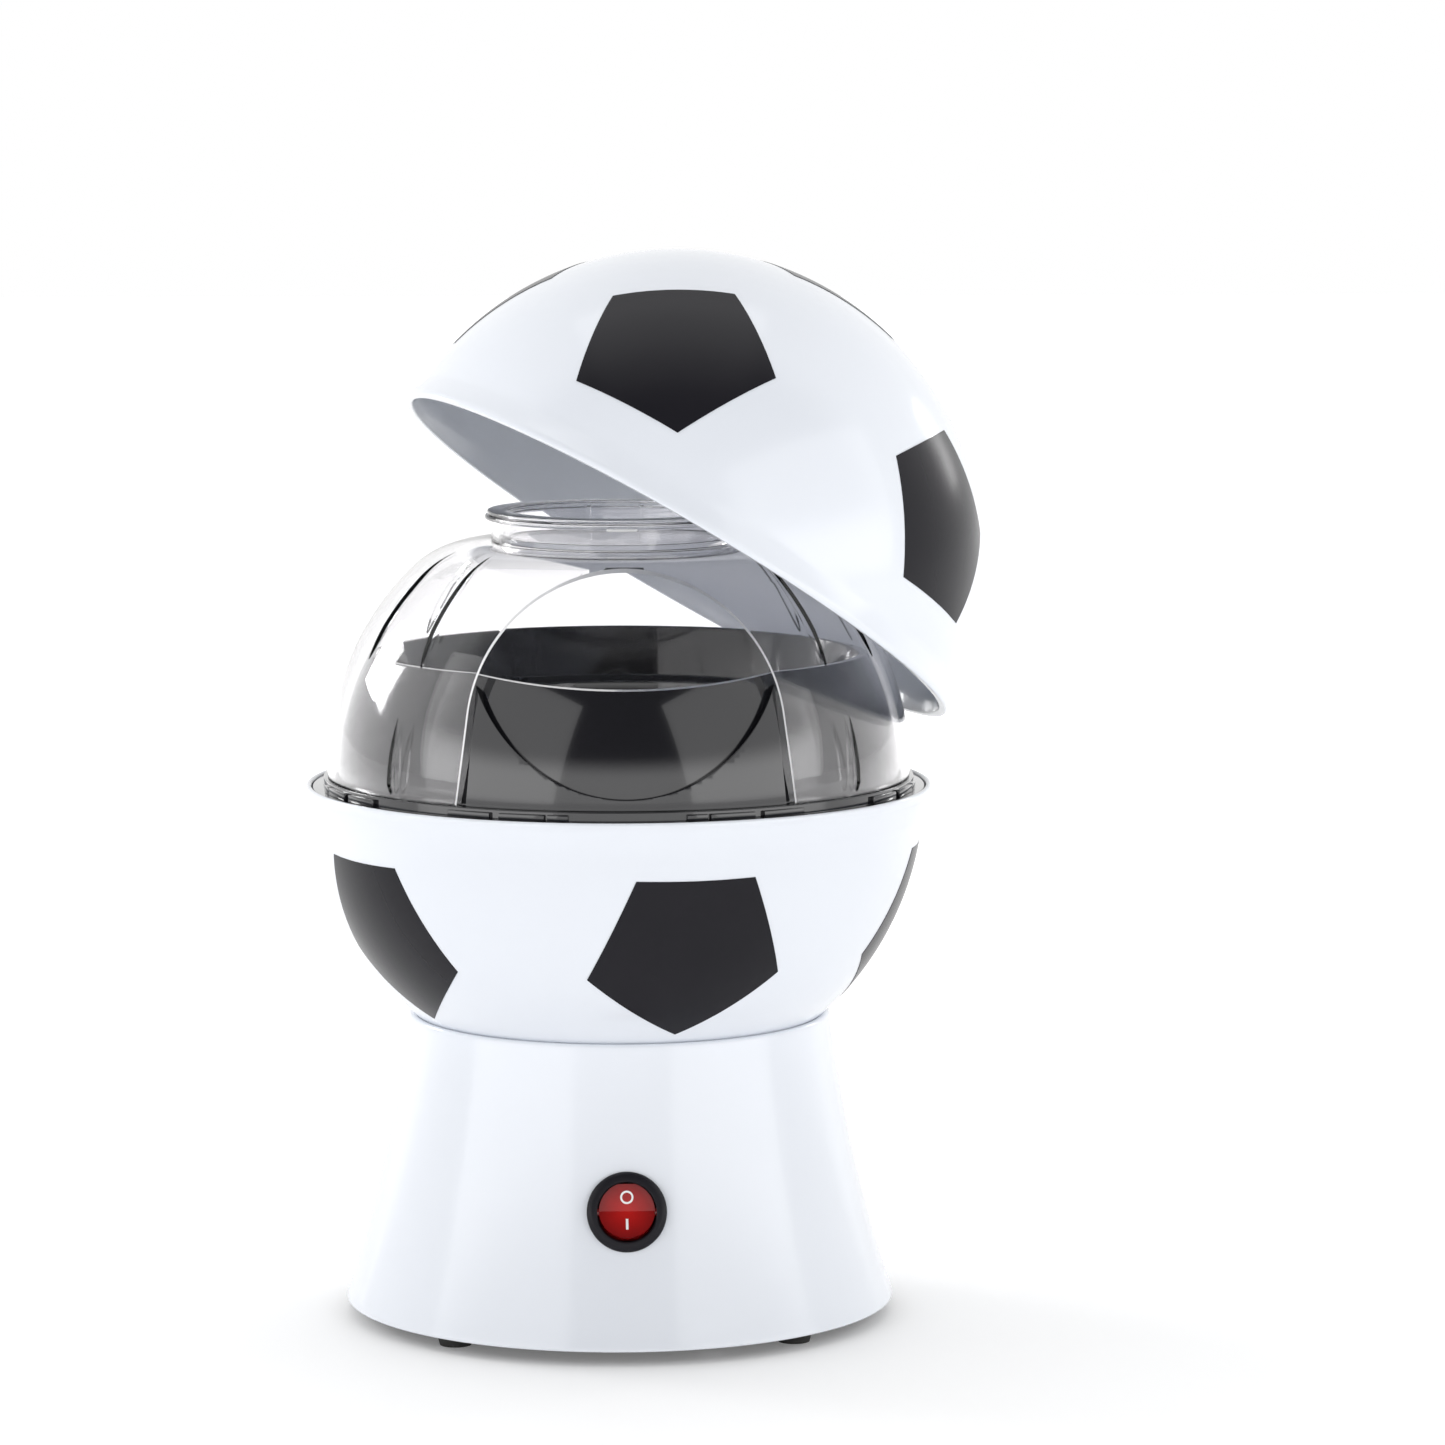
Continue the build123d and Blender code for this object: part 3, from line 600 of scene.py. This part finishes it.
def makeBase():
    s = baseSet
    inner = baseSide(s["wall"])[::-1]
    above = [p for p in inner if p[1] > s["shelfTop"]]
    below = [p for p in inner if p[1] < s["shelfTop"] - s["shelfThick"]]
    shelf = [(above[-1][0], s["shelfTop"]), (s["shelfInner"], s["shelfTop"]),
             (s["shelfInner"], s["shelfTop"] - s["shelfThick"]), (below[0][0], s["shelfTop"] - s["shelfThick"])]
    outline = softCorners([*baseSide(0), *above, *shelf, *below], s["edge"])
    base = lathe("baseShell", outline, "whiteGloss", 320)
    ballRadius = bowlSet["radius"] + s["ballClear"]
    ball = sphereArc(ballRadius, bowlSet["centreZ"], -pi / 2, pi / 2, 90)
    ballCut = lathe("ballCut", ball, "whiteGloss", 320)
    combine(base, ballCut, "DIFFERENCE")
    for sign, height, hole, seat in ((-1, s["midHeight"], s["holeRadius"], s["bezelSeat"]),
                                     (1, s["glandHeight"], s["glandHole"], s["glandSeat"])):
        place = sidePlace(sign, height)
        for radius, low in ((hole, -0.02), (seat, 0.0)):
            cutter = disc("holeCut", radius, low, 0.004)
            cutter.data.transform(place)
            combine(base, cutter, "DIFFERENCE")
    outward(base)
    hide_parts("base_housing")
    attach(base, "root")


makeBase()
print("base made")


def makeBowl():
    s = bowlSet
    outer, inner, centre = s["radius"], s["radius"] - s["wall"], s["centreZ"]
    lowOut = -np.arccos(sqrt(outer**2 - (centre - s["bottomZ"]) ** 2) / outer)
    lowIn = -np.arccos(sqrt(inner**2 - (centre - s["bottomZ"]) ** 2) / inner)
    shoulder = np.arcsin((rimZ - s["shoulder"] - centre) / outer)
    seatZ = rimZ - s["ringSeat"]
    seat = np.arcsin((seatZ - centre) / inner)
    edge = s["lipEdge"]
    flare = arc(sphereArc(outer, centre, shoulder, shoulder, 1)[0],
                (lipRadius - s["flareIn"], rimZ - s["flareLow"]), (lipRadius, rimZ - s["flareTop"]), 10)
    lip = arc((lipRadius, rimZ - edge), (lipRadius - edge, rimZ), (lipRadius - 2 * edge, rimZ - edge), 9)
    outline = [
        *sphereArc(outer, centre, lowOut, shoulder, 70), *flare[1:], *lip,
        (ringHigh.x + s["ringGap"], seatZ), *sphereArc(inner, centre, seat, lowIn, 70),
    ]
    bowl = lathe("lowerBowlShell", softCorners(outline, s["edge"], sharp=30), "whiteGloss", 384)
    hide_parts("lower_bowl")
    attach(bowl, "root")


makeBowl()
print("lower bowl made")


patchSet = dict(corner=19.2, proud=0.00015, sink=0.0006)
bowlPatches = dict(polar=64.2, start=-77.2, step=72.0)
lidPatches = dict(polar=61.4, start=-114.3, frontGap=76.0)
lidSet = dict(radius=0.0902, wall=0.0015, gap=0.0003, centreZ=0.1585, shoulder=0.008, edge=0.0006,
              flareMid=(0.0009, 0.0040), flareFoot=0.0016, footWide=(0.0024, 0.0026), footHigh=0.0014, inMid=0.0032)


def lidTurn():
    # from the closed lid, where it is modelled, to the open lid at rest
    spot = Vector(lidJoint["pos_m"])
    turn = Matrix.Rotation(radians(-lidJoint["range_deg"][0]), 4, Vector(lidJoint["axis"]))
    return Matrix.Translation(spot) @ turn @ Matrix.Translation(-spot)


def patch(radius, centre, polar, azimuth, down):
    piece = meshFrom("patch", [(0, 0, 0)])
    nodesModifier(piece, patchTree, {
        "Radius": radius + patchSet["proud"], "Sink": patchSet["sink"], "Corner": radians(patchSet["corner"]),
        "Polar": radians(180 - polar if down else polar), "Azimuth": radians(azimuth),
        "Turn": 0.0 if down else pi, "Centre": centre, "Material": looks["blackPrint"],
    })
    return outward(bake(piece), 40)


def makePatches():
    s = bowlPatches
    low = [patch(bowlSet["radius"], bowlSet["centreZ"], s["polar"], s["start"] + k * s["step"], True)
           for k in range(5)]
    lower = joined("bowlPentagons", low, "blackPrint")
    outward(lower, 40)
    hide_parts("bowl_patches")
    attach(lower, "root")
    s = lidPatches
    step = (360 - s["frontGap"]) / 4
    azimuths = [s["start"]] + [s["start"] + s["frontGap"] + k * step for k in range(4)]
    high = [patch(lidSet["radius"], lidSet["centreZ"], s["polar"], a, False) for a in azimuths]
    high.append(patch(lidSet["radius"], lidSet["centreZ"], 0.0, s["start"] + 180, False))
    upper = joined("lidPentagons", high, "blackPrint")
    upper.data.transform(lidTurn())
    outward(upper, 40)
    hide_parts("lid_patches")
    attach(upper, "lid")


makePatches()
print("pentagons made")


def makeLid():
    s = lidSet
    outer, inner, centre = s["radius"], s["radius"] - s["wall"], s["centreZ"]
    rim = rimZ + s["gap"]
    top = rim + s["shoulder"]
    outStart, inStart = (np.arcsin((top - centre) / r) for r in (outer, inner))
    shoulderOut = sphereArc(outer, centre, outStart, outStart, 1)[0]
    shoulderIn = sphereArc(inner, centre, inStart, inStart, 1)[0]
    narrower, higher = s["flareMid"]
    footIn, footOut = (lipRadius - wide for wide in s["footWide"])
    flare = arc((lipRadius, rim + s["flareFoot"]), (lipRadius - narrower, rim + higher), shoulderOut, 8)
    inFlare = arc(shoulderIn, (lipRadius - s["inMid"], rim + higher), (footOut, rim + s["footHigh"]), 8)
    outline = [
        *sphereArc(inner, centre, pi / 2, inStart, 90), *inFlare[1:], (footIn, rim),
        (lipRadius, rim), *flare, *sphereArc(outer, centre, outStart, pi / 2, 90)[1:],
    ]
    lid = lathe("lidShell", softCorners(outline, s["edge"], sharp=30), "whiteGloss", 384)
    lid.data.transform(lidTurn())
    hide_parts("lid_shell")
    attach(lid, "lid")


makeLid()
print("lid made")


collarSet = dict(radius=0.0826, wall=0.0022, topHeight=0.0386, floorDrop=0.0065, wallDrop=0.0040, hole=0.0390,
                 flat=0.0560, webHeight=0.0325, webRadius=0.0722, topRadius=0.0706, footRadius=0.0682,
                 ledgeRadius=0.0640, ledgeHeight=0.0224,
                 panelRadius=0.0854, panelFootHalf=0.0454, panelTopHalf=0.0420,
                 panelFoot=0.0025, dishRadius=0.0447, dishHeight=0.0503, rimDip=0.0034, dipRadius=0.261,
                 panelOverlap=0.0005, skinReach=(-0.02, 0.06), edge=0.0004)
ringSet = dict(innerRadius=0.0829, stepRadius=0.0868, flangeDrop=0.0006, edge=0.0003, lugRise=0.0022,
               lugThick=0.0016, lugOut=0.0003, lugSoft=0.00025, families=((13.0, 4.0), (19.9, 9.0), (30.6, 9.0)))


def onSphere(radius, height):
    return (sqrt(radius**2 - height**2), rimZ + height)


def makeCollar():
    s = collarSet
    outer, inner, top = s["radius"], s["radius"] - s["wall"], s["topHeight"]
    floorZ = rimZ - s["floorDrop"]
    funnelTop = floorZ + 0.0024
    ledge = rimZ + s["ledgeHeight"]
    under = arc((s["flat"], floorZ), (0.0620, rimZ + 0.006),
                (s["ledgeRadius"] + 0.0030, ledge - 0.0010), 30)
    cavity = arc(onSphere(inner, s["webHeight"]), onSphere(inner, 0.015), onSphere(inner, -s["wallDrop"]), 30)
    outside = arc(onSphere(outer, -s["wallDrop"]), onSphere(outer, top / 2), onSphere(outer, top), 48)
    bowl = arc((s["ledgeRadius"], ledge), (0.0576, rimZ + 0.006), (0.0460, funnelTop), 36)
    outline = softCorners([
        (s["hole"], floorZ), *under, (s["footRadius"] + s["wall"], ledge),
        (s["webRadius"], rimZ + s["webHeight"]), *cavity, *outside,
        (s["topRadius"], rimZ + top), (s["footRadius"], ledge + 0.0014), *bowl, (s["hole"], funnelTop),
    ], 0.0006)
    collar = lathe("chuteCollar", outline, "blackGloss", 320)
    near, far = s["panelRadius"], outer - s["panelOverlap"]
    low, high = s["skinReach"]
    skinOut = arc(onSphere(near, low), (near, rimZ), onSphere(near, high), 60)
    skinIn = arc(onSphere(far, high), (far, rimZ), onSphere(far, low), 60)
    panel = lathe("frontPanel", [*skinOut, *skinIn], "blackGloss", 320)
    foot, head = rimZ + s["panelFoot"], rimZ + top
    shield = [(-s["panelFootHalf"], foot), (s["panelFootHalf"], foot),
              (s["panelTopHalf"], head), (-s["panelTopHalf"], head)]
    combine(panel, prism("shield", shield, -0.12, -0.02), "INTERSECT")
    ring = [(s["dishRadius"] * cos(t), rimZ + s["dishHeight"] + s["dishRadius"] * sin(t))
            for t in np.linspace(0, 2 * pi, 160, endpoint=False)]
    combine(panel, prism("dishCut", ring, -0.12, -0.02), "DIFFERENCE")
    softened(outward(panel), s["edge"])
    dip = [(s["dipRadius"] * cos(t), rimZ + top - s["rimDip"] + s["dipRadius"] * (1 + sin(t)))
           for t in np.linspace(0, 2 * pi, 720, endpoint=False)]
    combine(collar, prism("dipCut", dip, -0.09, -0.03), "DIFFERENCE")
    outward(collar)
    whole = joined("chuteCollarAndPanel", [collar, panel], "blackGloss")
    outward(whole)
    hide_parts("chute_collar")
    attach(whole, "root")


def makeRing():
    s = ringSet
    flange = rimZ - s["flangeDrop"]
    outline = softCorners([
        (s["innerRadius"], ringLow.z), (ringHigh.x, ringLow.z), (ringHigh.x, flange), (s["stepRadius"], flange),
        (s["stepRadius"], ringHigh.z), (s["innerRadius"], ringHigh.z),
    ], s["edge"])
    pieces = [lathe("rimRing", outline, "blackGloss", 384)]
    for centre, width in s["families"]:
        for side in (-1, 1):
            long = 2 * s["stepRadius"] * sin(radians(width / 2))
            lug = boxPiece("lug", (s["lugThick"], long, s["lugRise"]),
                           (s["stepRadius"] + s["lugOut"], 0, flange + s["lugRise"] / 2))
            softened(lug, s["lugSoft"], 2)
            pieces.append(ringOf(lug, "blackGloss", 4, -90 + side * centre))
    ring = joined("rimRingAndLugs", pieces, "blackGloss")
    outward(ring)
    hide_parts("rim_ring")
    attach(ring, "root")


makeCollar()
makeRing()
print("collar and ring made")


coverSet = dict(footRadius=0.0857, waist=(0.0787, 0.0377), brow=(0.0610, 0.0632), neckRadius=0.0372,
                neckFoot=0.0712, lipRadius=0.0392, lipLow=0.0779, lipTop=0.0791, wall=0.0020, archRadius=0.0450,
                archCentre=0.0220, archFootHalf=0.0484, archShoulder=8.0, edge=0.0005, nibHalf=0.0045)
longFlute = dict(low=0.0395, high=0.0700, halfWidth=0.0022, depth=0.0010, floor=0.70, blunt=0.45,
                 azimuths=((48.0, 132.0), (69.5, 110.5)))
shortFlute = dict(low=0.0034, high=0.0260, halfWidth=0.0020, depth=0.0009, floor=0.70, blunt=0.9,
                  azimuths=((51.0, 129.0),))


def domeSide(inset, steps):
    # dome and shoulder of the cover, from its foot to the foot of the neck
    s = coverSet
    foot = (s["footRadius"] - inset, coverLow.z)
    waist = (s["waist"][0] - inset * 0.9, rimZ + s["waist"][1] - inset * 0.42)
    brow = (s["brow"][0] - inset * 0.64, rimZ + s["brow"][1] - inset * 0.75)
    neck = (s["neckRadius"] - inset, rimZ + s["neckFoot"] - inset)
    dome = arc(foot, waist, brow, steps)
    along = dome[-1] - dome[-2]
    along /= np.linalg.norm(along)
    chord = np.subtract(neck, brow)
    normal = np.array([-along[1], along[0]])
    bend = chord @ chord / (2 * chord @ normal)
    centre = brow + normal * bend
    half = np.array(brow) + chord / 2 - centre
    middle = centre + half / np.linalg.norm(half) * abs(bend)
    return [*dome, *arc(brow, middle, neck, steps // 2)[1:]]


def fluteCutter(side, look):
    # leaf-shaped groove along the dome's side, pointed above and blunter below
    run = np.array([p for p in side if rimZ + look["low"] <= p[1] <= rimZ + look["high"]])
    along = np.gradient(run, axis=0)
    along /= np.linalg.norm(along, axis=1)[:, None]
    normals = np.stack([along[:, 1], -along[:, 0]], 1)
    t = np.linspace(0, 1, len(run))
    width = look["halfWidth"] * np.minimum(1, (t / 0.12 * look["blunt"] + 0.02) ** 0.5) * (1 - t**2.2) + 1e-5
    depth = look["depth"] * np.minimum(1, width / look["halfWidth"] * 1.6)
    points = []
    for (r, z), (nr, nz), half, deep in zip(run, normals, width, depth):
        for reach, across in ((0.002, 1.0), (-deep, look["floor"]), (-deep, -look["floor"]), (0.002, -1.0)):
            spread = half * across * (1 + max(reach, 0) / 0.002 * 0.6)
            points.append((r + nr * reach, spread, z + nz * reach))
    count = len(run)
    faces = [(0, 1, 2, 3), tuple(4 * count - 4 + k for k in (3, 2, 1, 0))]
    for j in range(count - 1):
        faces += [(4 * j + k, 4 * j + (k + 1) % 4, 4 * j + 4 + (k + 1) % 4, 4 * j + 4 + k) for k in range(4)]
    return outward(meshFrom("fluteCut", points, faces))


def makeCover():
    s = coverSet
    bore = s["neckRadius"] - s["wall"]
    lipLow, lipTop = rimZ + s["lipLow"], rimZ + s["lipTop"]
    outer = domeSide(0, 128)
    outline = [
        *outer, (s["neckRadius"], lipLow), (s["lipRadius"], lipLow), (s["lipRadius"], lipTop),
        (bore, lipTop), *domeSide(s["wall"], 40)[::-1],
    ]
    cover = lathe("clearDome", softCorners(outline, s["edge"], sharp=30), "clearPlastic", 512)
    for look in (longFlute, shortFlute):
        for near, far in look["azimuths"]:
            cutter = mirrored(fluteCutter(outer, look), "clearPlastic", near, far)
            combine(cover, cutter, "DIFFERENCE")
    nib = boxPiece("nib", (2 * s["nibHalf"], 0.0026, 0.0010), (0, -s["neckRadius"] - 0.0002, lipLow - 0.0003))
    combine(cover, softened(nib, 0.0004, 2), "UNION")
    shoulder = radians(s["archShoulder"])
    centre = rimZ + s["archCentre"]
    head = [(s["archRadius"] * cos(t), centre + s["archRadius"] * sin(t))
            for t in np.linspace(shoulder, pi - shoulder, 120)]
    arch = [*head, (-s["archFootHalf"], coverLow.z - 0.003), (s["archFootHalf"], coverLow.z - 0.003)]
    combine(cover, prism("archCut", arch, -0.13, -0.02), "DIFFERENCE")
    outward(cover, 28)
    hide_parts("clear_cover")
    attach(cover, "cover")


cupSet = dict(radius=0.0339, wall=0.0016, flange=0.0385, flangeThick=0.0012, floor=0.0710, top=0.0805,
              ribAt=0.0080, ribWide=0.0014, ribDeep=0.0016, ribShort=0.0040, ribSoft=0.0003, edge=0.0005)


def makeCup():
    s = cupSet
    floor, top = rimZ + s["floor"], rimZ + s["top"]
    inner = s["radius"] - s["wall"]
    under = top - s["flangeThick"]
    outline = softCorners([
        (0, floor), (s["radius"], floor), (s["radius"], under), (s["flange"], under),
        (s["flange"], top), (inner, top), (inner, floor + s["wall"]), (0, floor + s["wall"]),
    ], s["edge"], 6)
    cup = lathe("cupShell", outline, "clearPlastic", 256)
    for side in (-1, 1):
        rib = boxPiece("rib", (s["ribWide"], s["ribDeep"], top - floor - s["ribShort"]),
                       (side * s["ribAt"], inner - s["ribDeep"] / 4, (floor + top) / 2 + s["ribShort"] / 4))
        combine(cup, softened(rib, s["ribSoft"], 2), "UNION")
    paint(cup, "clearPlastic")
    outward(cup, 40)
    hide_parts("measuring_cup")
    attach(cup, "cup")


makeCover()
makeCup()
print("cover and cup made")


chamberSet = dict(radius=0.0380, sheet=0.0008, flange=0.0540, louvres=18, louvreZ=0.098, louvreTilt=35.0,
                  louvreSize=(0.0020, 0.0030, 0.0150), louvreSoft=0.0005, louvreSink=0.0010,
                  kneeShare=0.55, domed=0.0015, rise=0.002, edge=0.0004)


def makeChamber():
    s = chamberSet
    low, top = chamberLow.z, chamberHigh.z
    inner = s["radius"] - s["sheet"]
    knee = s["radius"] * s["kneeShare"]
    outline = softCorners([
        (0, low + s["domed"]), (knee, low), (s["radius"], low + s["rise"]), (s["radius"], top - s["sheet"]),
        (s["flange"], top - s["sheet"]), (s["flange"], top), (inner, top), (inner, low + s["rise"] + s["sheet"]),
        (knee, low + s["sheet"]), (0, low + s["domed"] + s["sheet"]),
    ], s["edge"])
    pot = lathe("chamberPot", outline, "chamberMetal", 256)
    louvre = boxPiece("louvre", s["louvreSize"], (0, 0, 0))
    softened(louvre, s["louvreSoft"], 2)
    louvre.data.transform(Matrix.Rotation(radians(s["louvreTilt"]), 4, "X"))
    louvre.data.transform(Matrix.Translation((s["radius"] - s["louvreSink"], 0, s["louvreZ"])))
    fins = ringOf(louvre, "chamberMetal", s["louvres"])
    whole = joined("poppingChamberPot", [pot, fins], "chamberMetal")
    outward(whole)
    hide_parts("popping_chamber")
    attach(whole, "root")


makeChamber()
print("chamber made")


switchSet = dict(bezelRadius=0.0115, openRadius=0.0085, rise=0.0018, sleeve=0.0098, depth=0.019, recess=0.010,
                 chamfer=0.0004, edge=0.0002)


def makeSwitch():
    s = switchSet
    dome = arc((s["bezelRadius"], 0.0005), (s["bezelRadius"] - 0.0006, s["rise"] - 0.0004),
               (s["bezelRadius"] - 0.0016, s["rise"]), 9)
    outline = [
        (0, -s["depth"]), (s["sleeve"], -s["depth"]), (s["sleeve"], 0), (s["bezelRadius"], 0), *dome,
        (s["openRadius"] + s["chamfer"], s["rise"]), (s["openRadius"], s["rise"] - s["chamfer"]),
        (s["openRadius"], -s["recess"]), (0, -s["recess"]),
    ]
    body = lathe("switchBezel", softCorners(outline, s["edge"], 3, 50), "blackPrint", 128)
    body.data.transform(sidePlace(-1, baseSet["midHeight"]))
    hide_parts("switch_body")
    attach(body, "root")


makeSwitch()

nodeLooks = dict(
    base_plate="blackSatin", rubber_feet="rubberBlack", base_screws="zincSteel", bowl_screws="zincSteel",
    collar_screws="zincSteel", motor_screws="zincSteel", heater_shroud="tinPlate", mica_cross="micaSheet",
    heater_coil="heaterWire", thermostat="ceramicTan", thermal_fuse="tinPlate", motor_can="tinPlate",
    motor_bracket="tinPlate", rectifier_board="boardTan", rectifier_diodes="blackSatin",
    switch_terminals="brassBlade", cord_gland="rubberBlack", gland_nut="blackSatin", motor_shaft="zincSteel",
    fan="fanNylon", switch_rocker="redLens", rocker_marks="whitePrint", base_housing="whiteGloss",
    lower_bowl="whiteGloss", bowl_patches="blackPrint", lid_shell="whiteGloss", lid_patches="blackPrint",
    chute_collar="blackGloss", rim_ring="blackGloss", popping_chamber="chamberMetal", switch_body="blackPrint",
    clear_cover="clearPlastic", measuring_cup="clearPlastic",
)
for nodeName, look in nodeLooks.items():
    node = frame["nodes"][nodeName]
    node.data.materials.clear()
    node.data.materials.append(looks[look])
print("switch made and CAD nodes painted:", len(nodeLooks))


lightSet = dict(
    back=1.05, frontLow=1.60, frontHigh=0.08, lowFrom=0.14, lowTo=0.30,
    # azimuth from the front, height, distance, width, height of panel, brightness
    boxes=dict(
        leftBox=(-55.0, 0.75, 1.6, 2.0, 1.40, 1.12), rightBox=(55.0, 0.75, 1.6, 2.0, 1.40, 1.08),
        leftRim=(-127.0, 0.66, 1.6, 0.40, 0.40, 9.0), rightRim=(132.0, 0.60, 1.6, 0.20, 0.40, 6.0),
    ),
    top=(1.4, 1.9, 0.7), floorGlow=0.6, glowFade=(0.2, 0.4, 1.8),
)


def addFloor():
    floor = meshFrom("floor", [(-6, -6, 0), (6, -6, 0), (6, 6, 0), (-6, 6, 0)], [(0, 1, 2, 3)])
    material, maker = newMaterial("floorWhite")
    cloud = objectNoise(maker, 3.0)
    place = maker.val("ShaderNodeTexCoord", out="Object")
    away = maker.val("ShaderNodeVectorMath", dict(operation="LENGTH"), {0: place}, out="Value")
    nearGlow, fromReach, toReach = lightSet["glowFade"]     # the floor's own light grows away from the object
    glow = maker.val("ShaderNodeMapRange", {}, {
        "Value": away, "From Min": fromReach, "From Max": toReach, "To Min": nearGlow, "To Max": 1.0,
    })
    finishMaterial(maker, {
        "Base Color": twoTone(maker, cloud, (0.93, 0.93, 0.93), (0.95, 0.95, 0.95)),
        "Roughness": 0.6 + cloud * 0.1,
        "Emission Color": glow, "Emission Strength": lightSet["floorGlow"],
    })
    floor.data.materials.append(material)


def areaLight(name, spot, size, brightness):
    data = bpy.data.lights.new(name, "AREA")
    data.shape = "RECTANGLE"
    data.size, data.size_y = size
    data.energy = brightness * pi * size[0] * size[1]
    light = bpy.data.objects.new(name, data)
    light.location = spot
    light.rotation_euler = (Vector((0, 0, 0.16)) - Vector(spot)).to_track_quat("-Z", "Y").to_euler()
    bpy.context.scene.collection.objects.link(light)


def addLights():
    for name, (turn, height, distance, wide, tall, brightness) in lightSet["boxes"].items():
        angle = radians(turn - 90)
        areaLight(name, (distance * cos(angle), distance * sin(angle), height), (wide, tall), brightness)
    size, height, brightness = lightSet["top"]
    areaLight("topBox", (0, 0.1, height), (size, size), brightness)


def addWorld():
    # a white studio: bright behind, and in front bright low down and dark above
    s = lightSet
    world = bpy.data.worlds.new("studio")
    world.use_nodes = True
    world.node_tree.nodes.clear()
    maker = Maker(world.node_tree)
    where = maker.add("ShaderNodeSeparateXYZ", {}, {0: maker.val("ShaderNodeTexCoord", out="Generated")})
    ahead = maker.val("ShaderNodeMapRange", dict(interpolation_type="SMOOTHSTEP"), {
        "Value": where.outputs["Y"], "From Min": -0.25, "From Max": 0.1, "To Min": 1.0, "To Max": 0.0,
    })
    low = maker.val("ShaderNodeMapRange", dict(interpolation_type="SMOOTHSTEP"), {
        "Value": where.outputs["Z"], "From Min": s["lowFrom"], "From Max": s["lowTo"], "To Min": 1.0, "To Max": 0.0,
    })
    front = s["frontHigh"] + low * (s["frontLow"] - s["frontHigh"])
    level = s["back"] + ahead * (front - s["back"])
    soft = maker.add("ShaderNodeBackground", {}, {"Color": (1, 1, 1, 1), "Strength": level})
    plain = maker.add("ShaderNodeBackground", {}, {"Color": (1, 1, 1, 1), "Strength": 1.0})
    seen = maker.add("ShaderNodeLightPath").outputs["Is Camera Ray"]
    mix = maker.add("ShaderNodeMixShader", {}, {0: seen, 1: soft.outputs[0], 2: plain.outputs[0]})
    maker.add("ShaderNodeOutputWorld", {}, {"Surface": mix.outputs[0]})
    bpy.context.scene.world = world


addFloor()
addLights()
addWorld()
bpy.context.scene.view_settings.view_transform = "Standard"
print("floor and light set")
